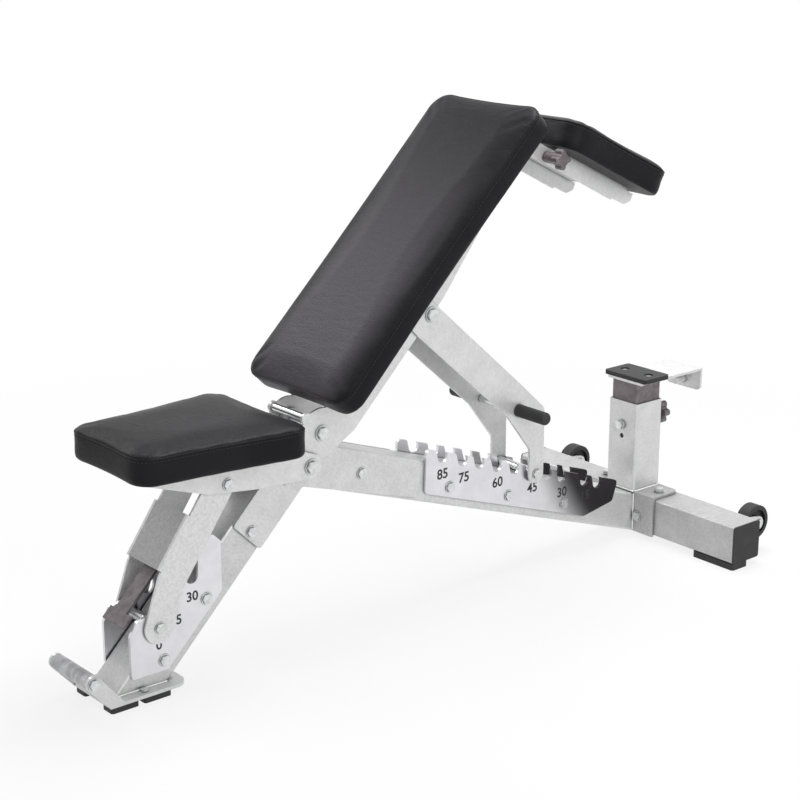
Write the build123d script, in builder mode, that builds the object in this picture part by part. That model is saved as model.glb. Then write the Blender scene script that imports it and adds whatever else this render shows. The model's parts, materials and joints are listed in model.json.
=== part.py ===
import os
from math import atan2, cos, degrees, hypot, radians, sin, sqrt, tan

from build123d import *

os.makedirs("parts", exist_ok=True)

# Adjustable weight bench: the front is -X, the near side is -Y and the floor is Z = 0.
# Square tube of the frame
tube = 75.0
tube_wall = 3.0
tube_round = 5.0
half = tube / 2
hollow = half - tube_wall

# Plates in layers from the tube outwards: ladders and gussets, inner bars, outer bars
plate = 6.0
bar = 5.0
side_gap = 0.5
y_ladder = half
y_inner = half + plate + side_gap
y_outer = y_inner + bar + side_gap

# Fits of shafts in their bores, and of rods in the notches
pin_fit = 0.05
notch_play = 0.3

# Front foot: plate, ears, handle and rubber pads
base_bottom = 11.4
base_plate_thickness = 6.0
base_half_width = 60.0
base_ahead = 58.0
base_behind = 78.0
base_round = 22.0
base_top = base_bottom + base_plate_thickness
base_pad_length = 52.0
base_pad_width = 30.0
base_pad_round = 5.0
base_pad_edge = 3.0
base_pad_gap = 10.0
ear_thickness = 6.0
ear_radius = 13.0
handle_ahead = 100.0
handle_z = 64.0
handle_radius = 13.0
handle_bolt_radius = 5.0

# Cross tube at the rear
cross_half_length = 292.0
cross_floor = 12.6
cross_z = cross_floor + half
cross_top = cross_floor + tube
end_cap = 3.0
foot_length = 99.0
foot_back = 7.0
foot_round = 6.0

# Saddle bracket, a bent plate over the cross tube
saddle_half_width = 90.0
saddle_bottom = 11.0
saddle_back = 31.5
saddle_round = 12.0
saddle_bolt_y = 49.5
saddle_bolt_z = 45.0
saddle_top_bolt_y = 71.5
saddle_front = half + plate
saddle_top = cross_top + plate


def at(origin, angle, along, across):
    c = cos(radians(angle))
    s = sin(radians(angle))
    return (origin[0] + along * c - across * s, origin[1] + along * s + across * c)


# Linkage of the back, measured from the knee where the leg and the sloping beam meet
leg_angle = 45.0
beam_drop = 18.8
hinge_behind_knee = 48.0
hinge_above_knee = 46.0
strut_pivot_u = 289.0
strut_pivot_v = -50.0
strut_length = 440.0
back_stops = (85.0, 75.0, 67.5, 60.0, 52.5, 45.0, 37.5, 30.0, 15.0, 0.0)
rest_stop = 5
back_angle = back_stops[rest_stop]
ladder_pin = 11.0

# Lock point of the back strut for each stop of the back, along the beam from the knee
lock_n = half + ladder_pin
knee_to_hinge = (hinge_behind_knee, hinge_above_knee)
strut_tops = [at(knee_to_hinge, stop, strut_pivot_u, strut_pivot_v) for stop in back_stops]
lock_s = []
for top in strut_tops:
    top_s, top_n = at((0, 0), beam_drop, top[0], top[1])
    lock_s.append(top_s + sqrt(strut_length**2 - (top_n - lock_n) ** 2))

# The ladders are as long as their notches need, and the beam as long as the ladders need
ladder_head = 21.2
ladder_tail = 55.3
ladder_lean = 24.0
ladder_slant = 70.0
ladder_to_saddle = 78.0
ladder_start = min(lock_s) - ladder_head
ladder_start_top = ladder_start - ladder_lean
ladder_end = max(lock_s) + ladder_tail
ladder_cut = ladder_end - ladder_slant
beam_length = ladder_end + ladder_to_saddle

# Knee
beam_end_z = 50.3
knee_ahead = saddle_front + beam_length * cos(radians(beam_drop))
knee_z = beam_end_z + beam_length * sin(radians(beam_drop))

# The origin is midway between the foot's ears and the hook at the rear
hook_x = 140.0
front_reach = knee_ahead + (knee_z - base_top) / tan(radians(leg_angle)) + handle_ahead + ear_radius
rear_x = (front_reach - hook_x) / 2
knee = (rear_x - knee_ahead, knee_z)
hinge = (knee[0] + hinge_behind_knee, knee[1] + hinge_above_knee)
leg_way = leg_angle - 180.0
beam_way = -beam_drop
mitre_way = (leg_way + beam_way) / 2
mitre_sine = sin(radians((beam_way - leg_way) / 2))

# Bolts
bolt_radius = 6.0
bolt_flange_radius = 11.0
bolt_flange = 1.5
bolt_hex_radius = 9.2
bolt_head = 3.5
screw_radius = 4.0
screw_head_radius = 7.0
screw_head = 4.0
gusset_leg_bolts = (32.0, 139.0)
gusset_beam_bolt = 146.0
ladder_bolt_in = 56.0
ladder_bolt_back = 67.0
ladder_bolt_first = ladder_start + ladder_bolt_in
ladder_bolt_last = ladder_cut - ladder_bolt_back
ladder_bolts = (ladder_bolt_first, (ladder_bolt_first + ladder_bolt_last) / 2, ladder_bolt_last)
ladder_bolt_drop = 2.0
seat_ladder_bolts = (272.0, 393.0)
seat_ladder_bolt_drop = 1.0

# Gussets at the knee
gusset_leg_end = 152.0
gusset_to_ladder = 8.0
gusset_beam_end = ladder_start_top - gusset_to_ladder
gusset_drop = 30.0
gusset_ear_radius = 24.0
gusset_round = 6.0
hinge_radius = 8.0

# Backrest, in its own axes: u runs up the back from the hinge, v out of the cushion
back_lobe_radius = 44.0
back_deep = 56.0
back_taper_u = 330.0
back_tip_deep = 16.0
back_plate_u = 652.0
back_edge_v = 24.0
back_ear_v = 44.0
back_ear_width = 20.0
toe_bar_v = back_ear_v
toe_bar_radius = 7.0
pivot_lug_radius = 22.0
strap_thickness = 5.0
strap_width = 44.0
strap_half_length = 72.5
back_straps_u = (72.0, 330.0, 625.0)
back_pad_bottom = 29.0
back_pad_top = 670.0
back_pad_half = 141.0
back_pad_thickness = 50.0
pad_corner = 34.0
pad_pull = 3.0

# Strut of the backrest, in axes along its upper band
strut_band_drop = 41.3
strut_above = 19.0
strut_below = 45.0
strut_end = 28.0
strut_web_start = 44.0
strut_web_end = 276.0
strut_web = 5.0
strut_bend = 300.0
strut_leg_half = 18.0
strut_crotch = 289.0
grip_along = 305.0
grip_across = -21.0
grip_rod_radius = 7.0
grip_radius = 12.0
grip_end = 130.0
lock_rod_radius = 9.0

# Back ladders on the sides of the beam
ladder_below = 21.0
ladder_end_n = 17.0
tooth_tip = 22.0
tooth_round = 3.0
ladder_round = 8.0
notch_width = 23.0
notch_lean = 15.0
notch_reach = 26.0

# Seat, in its own axes: p runs to the rear from the pivot, q up
seat_behind_knee = 21.0
seat_below_knee = 7.0
seat_rise = 0.8
seat_pivot_radius = 8.0
seat_spacer_radius = 13.0
seat_strut_p = -171.0
seat_strut_q = 4.6
seat_front_p = -368.0
seat_rear_p = -56.0
seat_front_half = 113.0
seat_rear_half = 142.0
seat_pad_ahead = 7.0
seat_pad_thickness = 57.0
seat_edge_q = 45.0
seat_end_radius = 22.0
seat_rail_inset = 37.5
seat_rail_nose = 11.0
seat_rail_ahead = 37.5
seat_rail_below = 10.0
seat_rail_behind = 56.0
seat_rail_sag = 16.0
seat_straps_p = (-300.0, -105.0)
seat_strut_radius = 7.0
seat_pivot = (knee[0] + seat_behind_knee, knee[1] - seat_below_knee)

# Seat strut and its ladder, measured along the leg from the knee
seat_bar_half = 27.5
seat_bar_top = -8.0
seat_bend_along = 178.0
seat_bend_across = -17.0
seat_web_start = 73.0
seat_web_end = 174.0
seat_lock_s = 356.5
seat_lock_front = 12.0
seat_notch_pitch = 47.5
seat_notch_count = 3
seat_notch_lean = 4.0
seat_ladder_start = 183.0
seat_ladder_rear = 160.0
seat_ladder_cover = 18.5
seat_ladder_floor = 23.0
seat_ladder_ahead = 53.0
seat_ladder_shoulder = 4.0
seat_ladder_upper = 30.0
seat_tooth_out = 32.5
seat_hook_below = 16.0
seat_hook_out = 53.5
seat_notch_reach = 34.0
seat_ladder_round = 6.0
grip_neck_half = 17.0
grip_head_half = 31.0
grip_head_depth = 24.0
grip_reach = 110.0
grip_block = 35.0
grip_behind = 12.0
grip_lean = 9.0

# Head rest: t runs along the cushion from the pivot, n out of it
head_fold = 71.0
head_pivot_u = 628.0
head_pivot_v = 11.4
head_lug_y = 67.5
head_lug_radius = 12.0
head_arm_length = 306.0
head_arm_drop = 14.0
head_arm_step = 255.0
head_arm_belly = 4.0
head_knob_reach = 60.0
head_knob_drop = 4.0
head_knob_screw = 5.0
head_lug_tip = 10.5
head_knob_radius = 12.5
head_knob_lobe = 6.0
head_knob_lobes = 4
head_knob_neck = 28.0
head_knob_neck_radius = 10.0
head_pad_start = 46.0
head_pad_end = 326.0
head_pad_half = 142.0
head_pad_thickness = 57.0
head_plate_start = 75.0
head_plate_end = 290.0
head_plate_half = 78.0
head_pivot_radius = 6.0

# Clamp knobs
knob_radius = 18.0
knob_lobe = 7.0
knob_lobes = 6
knob_thickness = 16.0
knob_neck_radius = 11.0
knob_neck = 12.0

# Post at the rear and its sliding head
post_top = 275.0
post_fit = 0.3
inner_bottom = 115.0
inner_wall = 3.0
inner_top = 315.0
post_knob_z = 234.0
post_screw_radius = 6.0
post_stop_z = 227.0
post_stop_boss = 8.0
post_hole_z = 203.0
post_hole_radius = 5.0
deck_plate = 5.0
hook_half = 45.0
hook_bottom = 273.0
hook_round = 10.0
hook_pin_radius = 8.0
hook_pin_z = 290.0
hook_pin_length = 26.0
rest_pad_x = 70.0
rest_pad_y = 112.0
rest_pad_z = 9.0
rest_pad_round = 6.0
rest_screw_y = 32.0
rest_recess = 9.0
rest_recess_deep = 4.0
post_x = rear_x - saddle_front + half
post_face = post_x + half
inner_half = hollow - post_fit

# Transport wheels behind the cross tube
wheel_radius = 35.0
wheel_width = 26.0
wheel_behind = 74.0
wheel_inset = 47.0
wheel_y = cross_half_length - wheel_inset
wheel_z = 62.0
wheel_axle = 6.0
wheel_hub = 14.0
wheel_web = 12.0
wheel_tread = 9.0
fork_plate = 4.0
fork_gap = 0.6
fork_height = 40.0
fork_tip = 14.0

# Small edges and rounds
edge = 1.0
quarter_turn = 1 - sqrt(0.5)


def side(y):
    return Plane(origin=(0, -y, 0), x_dir=(1, 0, 0), z_dir=(0, -1, 0))


def tilted(origin, angle):
    c = cos(radians(angle))
    s = sin(radians(angle))
    return Plane(origin=(origin[0], 0, origin[1]), x_dir=(c, 0, s), z_dir=(-s, 0, c))


def on_leg(s, n):
    return at(knee, leg_way, s, n)


def on_beam(s, n):
    return at(knee, beam_way, s, n)


def on_back(u, v):
    return at(hinge, back_angle, u, v)


def on_seat(p, q):
    return at(seat_pivot, -seat_rise, p, q)


def mitre(reach):
    return at(knee, mitre_way, reach / mitre_sine, 0)


def leg_foot(n):
    s = (knee_z - base_top - n * cos(radians(leg_angle))) / sin(radians(leg_angle))
    return on_leg(s, n)


def beam_foot(n):
    return on_beam(beam_length - n * tan(radians(beam_drop)), n)


def cushion(front, rear, front_half, rear_half, corner, pull):
    ends = [
        Vector(front, -front_half),
        Vector(rear, -rear_half),
        Vector(rear, rear_half),
        Vector(front, front_half),
    ]
    arcs = []
    for i in range(len(ends)):
        here = ends[i]
        ahead = ends[(i + 1) % len(ends)]
        onward = (ahead - here).normalized()
        back = (ends[i - 1] - here).normalized()
        start = here + back * corner
        middle = here + (onward + back) * corner * quarter_turn
        stop = here + onward * corner
        arcs.append((start, middle, stop))
        far = ahead - onward * corner
        inward = Vector(-onward.Y, onward.X)
        arcs.append((stop, (stop + far) / 2 + inward * pull, far))
    return arcs


# Height and inset of each section of a cushion: bottom edge, two seams, shoulder and crown
def cushion_levels(thickness):
    return (
        (0.0, 4.0),
        (4.0, 0.6),
        (8.0, 0.3),
        (11.0, 2.0),
        (14.0, 0.3),
        (thickness / 2, 1.6),
        (thickness - 15.0, 0.3),
        (thickness - 12.0, 2.0),
        (thickness - 9.0, 0.6),
        (thickness - 4.0, 5.0),
        (thickness - 1.5, 14.0),
        (thickness, 40.0),
    )


# Lock points and strut pivots of all stops, and those of the stop that the bench is set to
lock_points = [on_beam(s, lock_n) for s in lock_s]
pivot_points = [(knee[0] + top[0], knee[1] + top[1]) for top in strut_tops]
lock_pin = lock_points[rest_stop]
strut_pivot = pivot_points[rest_stop]
notch_radius = notch_width / 2
seat_slack = notch_radius - lock_rod_radius - notch_play

# Seat strut: its upper pivot on the rails and its lock point on the leg's ladder
seat_top = on_seat(seat_strut_p, seat_strut_q)
seat_lock = on_leg(seat_lock_s, -half - seat_lock_front)
seat_strut_way = degrees(atan2(seat_lock[1] - seat_top[1], seat_lock[0] - seat_top[0]))
seat_strut_reach = hypot(seat_lock[1] - seat_top[1], seat_lock[0] - seat_top[0])
seat_locks = [
    on_leg(seat_lock_s - i * seat_notch_pitch, -half - seat_lock_front) for i in range(seat_notch_count)
]

# Head rest pivot and its clamp knob
head_pivot = on_back(head_pivot_u, head_pivot_v)
head_way = back_angle - head_fold
head_knob = at(head_pivot, head_way, head_knob_reach, -head_knob_drop)
head_base = back_edge_v + strap_thickness - head_pivot_v
handle = (leg_foot(0)[0] - handle_ahead, handle_z)

# Base plate under the leg, with a rounded rear tab and two ears that carry the handle
base_x = leg_foot(0)[0]
base_front = base_x - base_ahead - ear_radius
base_rear = base_x + base_behind
ear_y = base_half_width - ear_thickness
base_screw_y = ear_y - screw_head_radius
with BuildPart() as base_plate:
    with BuildSketch(Plane.XY.offset(base_bottom)) as outline:
        with BuildLine():
            Polyline(
                (base_front, -base_half_width),
                (base_rear, -base_half_width),
                (base_rear, base_half_width),
                (base_front, base_half_width),
                close=True,
            )
        make_face()
        fillet(outline.vertices().group_by(Axis.X)[-1], base_round)
    extrude(amount=base_plate_thickness)
    with BuildSketch(side(ear_y)):
        with BuildLine():
            Line((base_front, base_bottom), (base_front + ear_radius * 2, base_bottom))
            Line((base_front + ear_radius * 2, base_bottom), (base_front + ear_radius * 2, base_top))
            CenterArc(handle, ear_radius, 0, 360)
        make_hull()
    extrude(amount=ear_thickness)
    with BuildSketch(side(-base_half_width)):
        with BuildLine():
            Line((base_front, base_bottom), (base_front + ear_radius * 2, base_bottom))
            Line((base_front + ear_radius * 2, base_bottom), (base_front + ear_radius * 2, base_top))
            CenterArc(handle, ear_radius, 0, 360)
        make_hull()
    extrude(amount=ear_thickness)
    with BuildSketch(side(-base_half_width)):
        with Locations(handle):
            Circle(handle_bolt_radius + pin_fit)
    extrude(amount=2 * base_half_width, mode=Mode.SUBTRACT)
    with Locations((base_x, -base_screw_y, base_top), (base_x, base_screw_y, base_top)):
        Hole(screw_radius + pin_fit, depth=base_plate_thickness)
base_plate.part.label = "base_plate"
export_step(base_plate.part, "parts/base_plate.step")

# Four rubber pads under the base plate, two along each long edge
pad_row = base_half_width - base_pad_edge - base_pad_width / 2
pad_first = base_front + base_pad_edge + base_pad_length / 2
pad_second = pad_first + base_pad_length + base_pad_gap
with BuildPart() as base_pads:
    with BuildSketch():
        with Locations(
            (pad_first, -pad_row),
            (pad_first, pad_row),
            (pad_second, -pad_row),
            (pad_second, pad_row),
        ):
            RectangleRounded(base_pad_length, base_pad_width, base_pad_round)
    extrude(amount=base_bottom)
base_pads.part.label = "base_pads"
export_step(base_pads.part, "parts/base_pads.step")

# Screws that hold the plate to its pads
with BuildPart() as base_screws:
    with BuildSketch(Plane.XY.offset(base_bottom)):
        with Locations((base_x, -base_screw_y), (base_x, base_screw_y)):
            Circle(screw_radius)
    extrude(amount=base_plate_thickness)
    with BuildSketch(Plane.XY.offset(base_top)):
        with Locations((base_x, -base_screw_y), (base_x, base_screw_y)):
            RegularPolygon(screw_head_radius, 6)
    extrude(amount=screw_head)
base_screws.part.label = "base_screws"
export_step(base_screws.part, "parts/base_screws.step")

# Round grip between the ears, on a bolt
with BuildPart() as foot_handle:
    with BuildSketch(side(-ear_y)):
        with Locations(handle):
            Circle(handle_radius)
            Circle(handle_bolt_radius + pin_fit, mode=Mode.SUBTRACT)
    extrude(amount=2 * ear_y)
    chamfer(foot_handle.edges().filter_by(GeomType.CIRCLE).sort_by(Edge.length)[-2:], edge)
foot_handle.part.label = "foot_handle"
export_step(foot_handle.part, "parts/foot_handle.step")

with BuildPart() as foot_handle_bolt:
    with BuildSketch(side(-base_half_width)):
        with Locations(handle):
            Circle(handle_bolt_radius)
    extrude(amount=2 * base_half_width)
    with BuildSketch(side(base_half_width)):
        with Locations(handle):
            Circle(bolt_flange_radius)
    extrude(amount=bolt_flange)
    with BuildSketch(side(base_half_width + bolt_flange)):
        with Locations(handle):
            RegularPolygon(bolt_hex_radius, 6)
    extrude(amount=screw_head)
    with BuildSketch(side(-base_half_width)):
        with Locations(handle):
            Circle(bolt_flange_radius)
    extrude(amount=-bolt_flange * 2)
foot_handle_bolt.part.label = "foot_handle_bolt"
export_step(foot_handle_bolt.part, "parts/foot_handle_bolt.step")

# Leg, a square tube from the base plate up to the knee
with BuildPart() as leg:
    with BuildSketch(side(0)):
        with BuildLine():
            Polyline(mitre(-half), mitre(half), leg_foot(half), leg_foot(-half), close=True)
        make_face()
    extrude(amount=half, both=True)
    sides = leg.edges().filter_by(lambda e: abs(abs(e.center().Y) - half) < edge)
    fillet(sides.filter_by(lambda e: e.length > 2 * tube), tube_round)
    with BuildSketch(side(0)):
        with BuildLine():
            Polyline(mitre(-hollow), mitre(hollow), leg_foot(hollow), leg_foot(-hollow), close=True)
        make_face()
    extrude(amount=hollow, both=True, mode=Mode.SUBTRACT)
    with BuildSketch(side(-half)):
        with Locations(*[on_leg(s, 0) for s in gusset_leg_bolts]):
            Circle(bolt_radius + pin_fit)
        with Locations(*[on_leg(s, seat_ladder_bolt_drop) for s in seat_ladder_bolts]):
            Circle(bolt_radius + pin_fit)
    extrude(amount=tube, mode=Mode.SUBTRACT)
leg.part.label = "leg"
export_step(leg.part, "parts/leg.step")

# Sloping beam from the knee down to the saddle
with BuildPart() as beam:
    with BuildSketch(side(0)):
        with BuildLine():
            Polyline(mitre(-half), mitre(half), beam_foot(-half), beam_foot(half), close=True)
        make_face()
    extrude(amount=half, both=True)
    sides = beam.edges().filter_by(lambda e: abs(abs(e.center().Y) - half) < edge)
    fillet(sides.filter_by(lambda e: e.length > 2 * tube), tube_round)
    with BuildSketch(side(0)):
        with BuildLine():
            Polyline(mitre(-hollow), mitre(hollow), beam_foot(-hollow), beam_foot(hollow), close=True)
        make_face()
    extrude(amount=hollow, both=True, mode=Mode.SUBTRACT)
    with BuildSketch(side(-half)):
        with Locations(on_beam(gusset_beam_bolt, 0)):
            Circle(bolt_radius + pin_fit)
        with Locations(*[on_beam(s, -ladder_bolt_drop) for s in ladder_bolts]):
            Circle(bolt_radius + pin_fit)
        with Locations(seat_pivot):
            Circle(seat_pivot_radius + pin_fit)
    extrude(amount=tube, mode=Mode.SUBTRACT)
beam.part.label = "beam"
export_step(beam.part, "parts/beam.step")

# Gusset plates on both sides of the knee, with an ear for the back hinge
with BuildPart() as gussets:
    with BuildSketch(side(y_ladder)) as outline:
        with BuildLine():
            FilletPolyline(
                on_leg(gusset_leg_end, -half),
                mitre(-half),
                on_beam(gusset_beam_end, half),
                on_beam(gusset_beam_end + half / 2, -gusset_drop),
                mitre(half),
                on_leg(gusset_leg_end, half),
                radius=gusset_round,
                close=True,
            )
        make_face()
        with BuildLine() as ear:
            Line(on_beam(gusset_ear_radius / 2, half / 2), on_beam(hinge_behind_knee * 2, half / 2))
            CenterArc(hinge, gusset_ear_radius, 0, 360)
        make_hull(ear.edges())
        with Locations(hinge):
            Circle(hinge_radius + pin_fit, mode=Mode.SUBTRACT)
        with Locations(seat_pivot):
            Circle(seat_pivot_radius + pin_fit, mode=Mode.SUBTRACT)
        with Locations(on_beam(gusset_beam_bolt, 0), *[on_leg(s, 0) for s in gusset_leg_bolts]):
            Circle(bolt_radius + pin_fit, mode=Mode.SUBTRACT)
    extrude(amount=plate)
    mirror(about=Plane.XZ)
gussets.part.label = "gussets"
export_step(gussets.part, "parts/gussets.step")

# Toothed ladder plates on both sides of the beam; each notch is set by an angle of the back
lean = (-sin(radians(notch_lean)), cos(radians(notch_lean)))
tip_start = on_beam(ladder_start_top, half + tooth_tip)
with BuildPart() as back_ladders:
    with BuildSketch(side(y_ladder)) as outline:
        with BuildLine():
            FilletPolyline(
                on_beam(ladder_start, -ladder_below),
                on_beam(ladder_cut, -ladder_below),
                on_beam(ladder_end, ladder_end_n),
                on_beam(ladder_end, half + tooth_tip),
                tip_start,
                radius=ladder_round,
                close=True,
            )
        make_face()
        for pin, top in zip(lock_points, pivot_points):
            pushed = hypot(pin[0] - top[0], pin[1] - top[1])
            x = pin[0] - (pin[0] - top[0]) / pushed * seat_slack
            z = pin[1] - (pin[1] - top[1]) / pushed * seat_slack
            SlotCenterPoint(
                center=(x + lean[0] * notch_reach, z + lean[1] * notch_reach),
                point=(x, z),
                height=notch_width,
                mode=Mode.SUBTRACT,
            )
        tips = outline.vertices().filter_by(
            lambda v: abs(v.Z - tip_start[1] + (v.X - tip_start[0]) * tan(radians(beam_drop))) < edge
        )
        fillet(tips.sort_by(Axis.X)[1:-1], tooth_round)
        with Locations(*[on_beam(s, -ladder_bolt_drop) for s in ladder_bolts]):
            Circle(bolt_radius + pin_fit, mode=Mode.SUBTRACT)
    extrude(amount=plate)
    mirror(about=Plane.XZ)
back_ladders.part.label = "back_ladders"
export_step(back_ladders.part, "parts/back_ladders.step")

# Hooked ladder plates on the leg for the seat
seat_lean = (sin(radians(seat_notch_lean)), cos(radians(seat_notch_lean)))
seat_push = at((0, 0), seat_strut_way, 1, 0)
hook_top = on_leg(seat_ladder_start, -half - seat_ladder_upper)
hook_low = on_leg(seat_lock_s + seat_hook_below, -half - seat_hook_out)
hook_mid = on_leg(seat_lock_s + seat_lock_front - seat_tooth_out, -half - seat_tooth_out)
tooth_slope = (hook_top[1] - hook_mid[1]) / (hook_top[0] - hook_mid[0])
hook_slope = (hook_mid[1] - hook_low[1]) / (hook_mid[0] - hook_low[0])
leg_run = cos(radians(leg_angle))
leg_fall = sin(radians(leg_angle))
seat_ladder_front = seat_lock[0] - seat_ladder_ahead
seat_ladder_low = base_top + seat_ladder_floor
seat_ladder_high_n = (seat_ladder_start * leg_run - seat_ladder_rear) / leg_fall
seat_ladder_rear_s = (seat_ladder_rear + seat_ladder_cover * leg_fall) / leg_run
seat_ladder_low_s = (knee_z - seat_ladder_low - seat_ladder_cover * leg_run) / leg_fall
with BuildPart() as seat_ladders:
    with BuildSketch(side(y_ladder)) as outline:
        with BuildLine():
            FilletPolyline(
                on_leg(seat_ladder_start, seat_ladder_high_n),
                hook_top,
                hook_mid,
                hook_low,
                (seat_ladder_front, seat_lock[1] - seat_ladder_shoulder),
                (seat_ladder_front, seat_ladder_low),
                on_leg(seat_ladder_low_s, seat_ladder_cover),
                on_leg(seat_ladder_rear_s, seat_ladder_cover),
                radius=seat_ladder_round,
                close=True,
            )
        make_face()
        for pin in seat_locks:
            x = pin[0] - seat_push[0] * seat_slack
            z = pin[1] - seat_push[1] * seat_slack
            SlotCenterPoint(
                center=(x + seat_lean[0] * seat_notch_reach, z + seat_lean[1] * seat_notch_reach),
                point=(x, z),
                height=notch_width,
                mode=Mode.SUBTRACT,
            )
        tips = outline.vertices().filter_by(
            lambda v: abs(v.Z - hook_top[1] - (v.X - hook_top[0]) * tooth_slope) < edge
        )
        hook_tips = outline.vertices().filter_by(
            lambda v: abs(v.Z - hook_low[1] - (v.X - hook_low[0]) * hook_slope) < edge
        )
        fillet(tips.sort_by(Axis.X)[:-1] + hook_tips.sort_by(Axis.X)[-1:], tooth_round)
        with Locations(*[on_leg(s, seat_ladder_bolt_drop) for s in seat_ladder_bolts]):
            Circle(bolt_radius + pin_fit, mode=Mode.SUBTRACT)
    extrude(amount=plate)
    mirror(about=Plane.XZ)
seat_ladders.part.label = "seat_ladders"
export_step(seat_ladders.part, "parts/seat_ladders.step")

# Through bolts with flanged hexagon heads at both ends, for the gussets and all ladders
frame_bolt_points = [on_leg(s, 0) for s in gusset_leg_bolts]
frame_bolt_points += [on_leg(s, seat_ladder_bolt_drop) for s in seat_ladder_bolts]
frame_bolt_points += [on_beam(gusset_beam_bolt, 0)]
frame_bolt_points += [on_beam(s, -ladder_bolt_drop) for s in ladder_bolts]
with BuildPart() as frame_bolts:
    with BuildSketch(side(0)):
        with Locations(*frame_bolt_points):
            Circle(bolt_radius)
    extrude(amount=y_ladder + plate, both=True)
    with BuildSketch(side(y_ladder + plate)):
        with Locations(*frame_bolt_points):
            Circle(bolt_flange_radius)
    extrude(amount=bolt_flange)
    with BuildSketch(side(y_ladder + plate + bolt_flange)):
        with Locations(*frame_bolt_points):
            RegularPolygon(bolt_hex_radius, 6)
    extrude(amount=bolt_head)
    mirror(about=Plane.XZ)
frame_bolts.part.label = "frame_bolts"
export_step(frame_bolts.part, "parts/frame_bolts.step")

# Saddle bracket, bent over the front and the top of the cross tube
with BuildPart() as saddle:
    with BuildSketch(side(0)) as profile:
        with BuildLine():
            Polyline(
                (rear_x - saddle_front, saddle_bottom),
                (rear_x - half, saddle_bottom),
                (rear_x - half, cross_top),
                (rear_x + saddle_back, cross_top),
                (rear_x + saddle_back, saddle_top),
                (rear_x - saddle_front, saddle_top),
                close=True,
            )
        make_face()
    extrude(amount=saddle_half_width, both=True)
    fillet(saddle.edges().filter_by(Axis.Z).group_by(Axis.X)[-1], saddle_round)
    with BuildSketch(Plane.YZ.offset(rear_x - saddle_front)):
        with Locations((-saddle_bolt_y, saddle_bolt_z), (saddle_bolt_y, saddle_bolt_z)):
            Circle(bolt_radius + pin_fit)
    extrude(amount=plate, mode=Mode.SUBTRACT)
    with BuildSketch(Plane.XY.offset(cross_top)):
        with Locations((post_x, -saddle_top_bolt_y), (post_x, saddle_top_bolt_y)):
            Circle(bolt_radius + pin_fit)
    extrude(amount=plate, mode=Mode.SUBTRACT)
saddle.part.label = "saddle"
export_step(saddle.part, "parts/saddle.step")

# Cross tube, open at its ends for the caps
with BuildPart() as cross_tube:
    with BuildSketch(Plane.XZ.offset(-cross_half_length)):
        with Locations((rear_x, cross_z)):
            RectangleRounded(tube, tube, tube_round)
            Rectangle(2 * hollow, 2 * hollow, mode=Mode.SUBTRACT)
    extrude(amount=2 * cross_half_length)
    with BuildSketch(Plane.YZ.offset(rear_x - half)):
        with Locations((-saddle_bolt_y, saddle_bolt_z), (saddle_bolt_y, saddle_bolt_z)):
            Circle(bolt_radius + pin_fit)
    extrude(amount=tube_wall, mode=Mode.SUBTRACT)
    with BuildSketch(Plane.XY.offset(cross_top - tube_wall)):
        with Locations((post_x, -saddle_top_bolt_y), (post_x, saddle_top_bolt_y)):
            Circle(bolt_radius + pin_fit)
    extrude(amount=tube_wall, mode=Mode.SUBTRACT)
cross_tube.part.label = "cross_tube"
export_step(cross_tube.part, "parts/cross_tube.step")

# Bolts of the saddle, two through its front and two through its top
with BuildPart() as saddle_bolts:
    with BuildSketch(Plane.YZ.offset(rear_x - saddle_front)):
        with Locations((-saddle_bolt_y, saddle_bolt_z), (saddle_bolt_y, saddle_bolt_z)):
            Circle(bolt_radius)
    extrude(amount=plate + tube_wall)
    with BuildSketch(Plane.YZ.offset(rear_x - saddle_front)):
        with Locations((-saddle_bolt_y, saddle_bolt_z), (saddle_bolt_y, saddle_bolt_z)):
            Circle(bolt_flange_radius)
    extrude(amount=-bolt_flange)
    with BuildSketch(Plane.YZ.offset(rear_x - saddle_front - bolt_flange)):
        with Locations((-saddle_bolt_y, saddle_bolt_z), (saddle_bolt_y, saddle_bolt_z)):
            RegularPolygon(bolt_hex_radius, 6)
    extrude(amount=-bolt_head)
    with BuildSketch(Plane.XY.offset(cross_top - tube_wall)):
        with Locations((post_x, -saddle_top_bolt_y), (post_x, saddle_top_bolt_y)):
            Circle(bolt_radius)
    extrude(amount=plate + tube_wall)
    with BuildSketch(Plane.XY.offset(saddle_top)):
        with Locations((post_x, -saddle_top_bolt_y), (post_x, saddle_top_bolt_y)):
            Circle(bolt_flange_radius)
    extrude(amount=bolt_flange)
    with BuildSketch(Plane.XY.offset(saddle_top + bolt_flange)):
        with Locations((post_x, -saddle_top_bolt_y), (post_x, saddle_top_bolt_y)):
            RegularPolygon(bolt_hex_radius, 6)
    extrude(amount=2 * bolt_head)
saddle_bolts.part.label = "saddle_bolts"
export_step(saddle_bolts.part, "parts/saddle_bolts.step")

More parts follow.
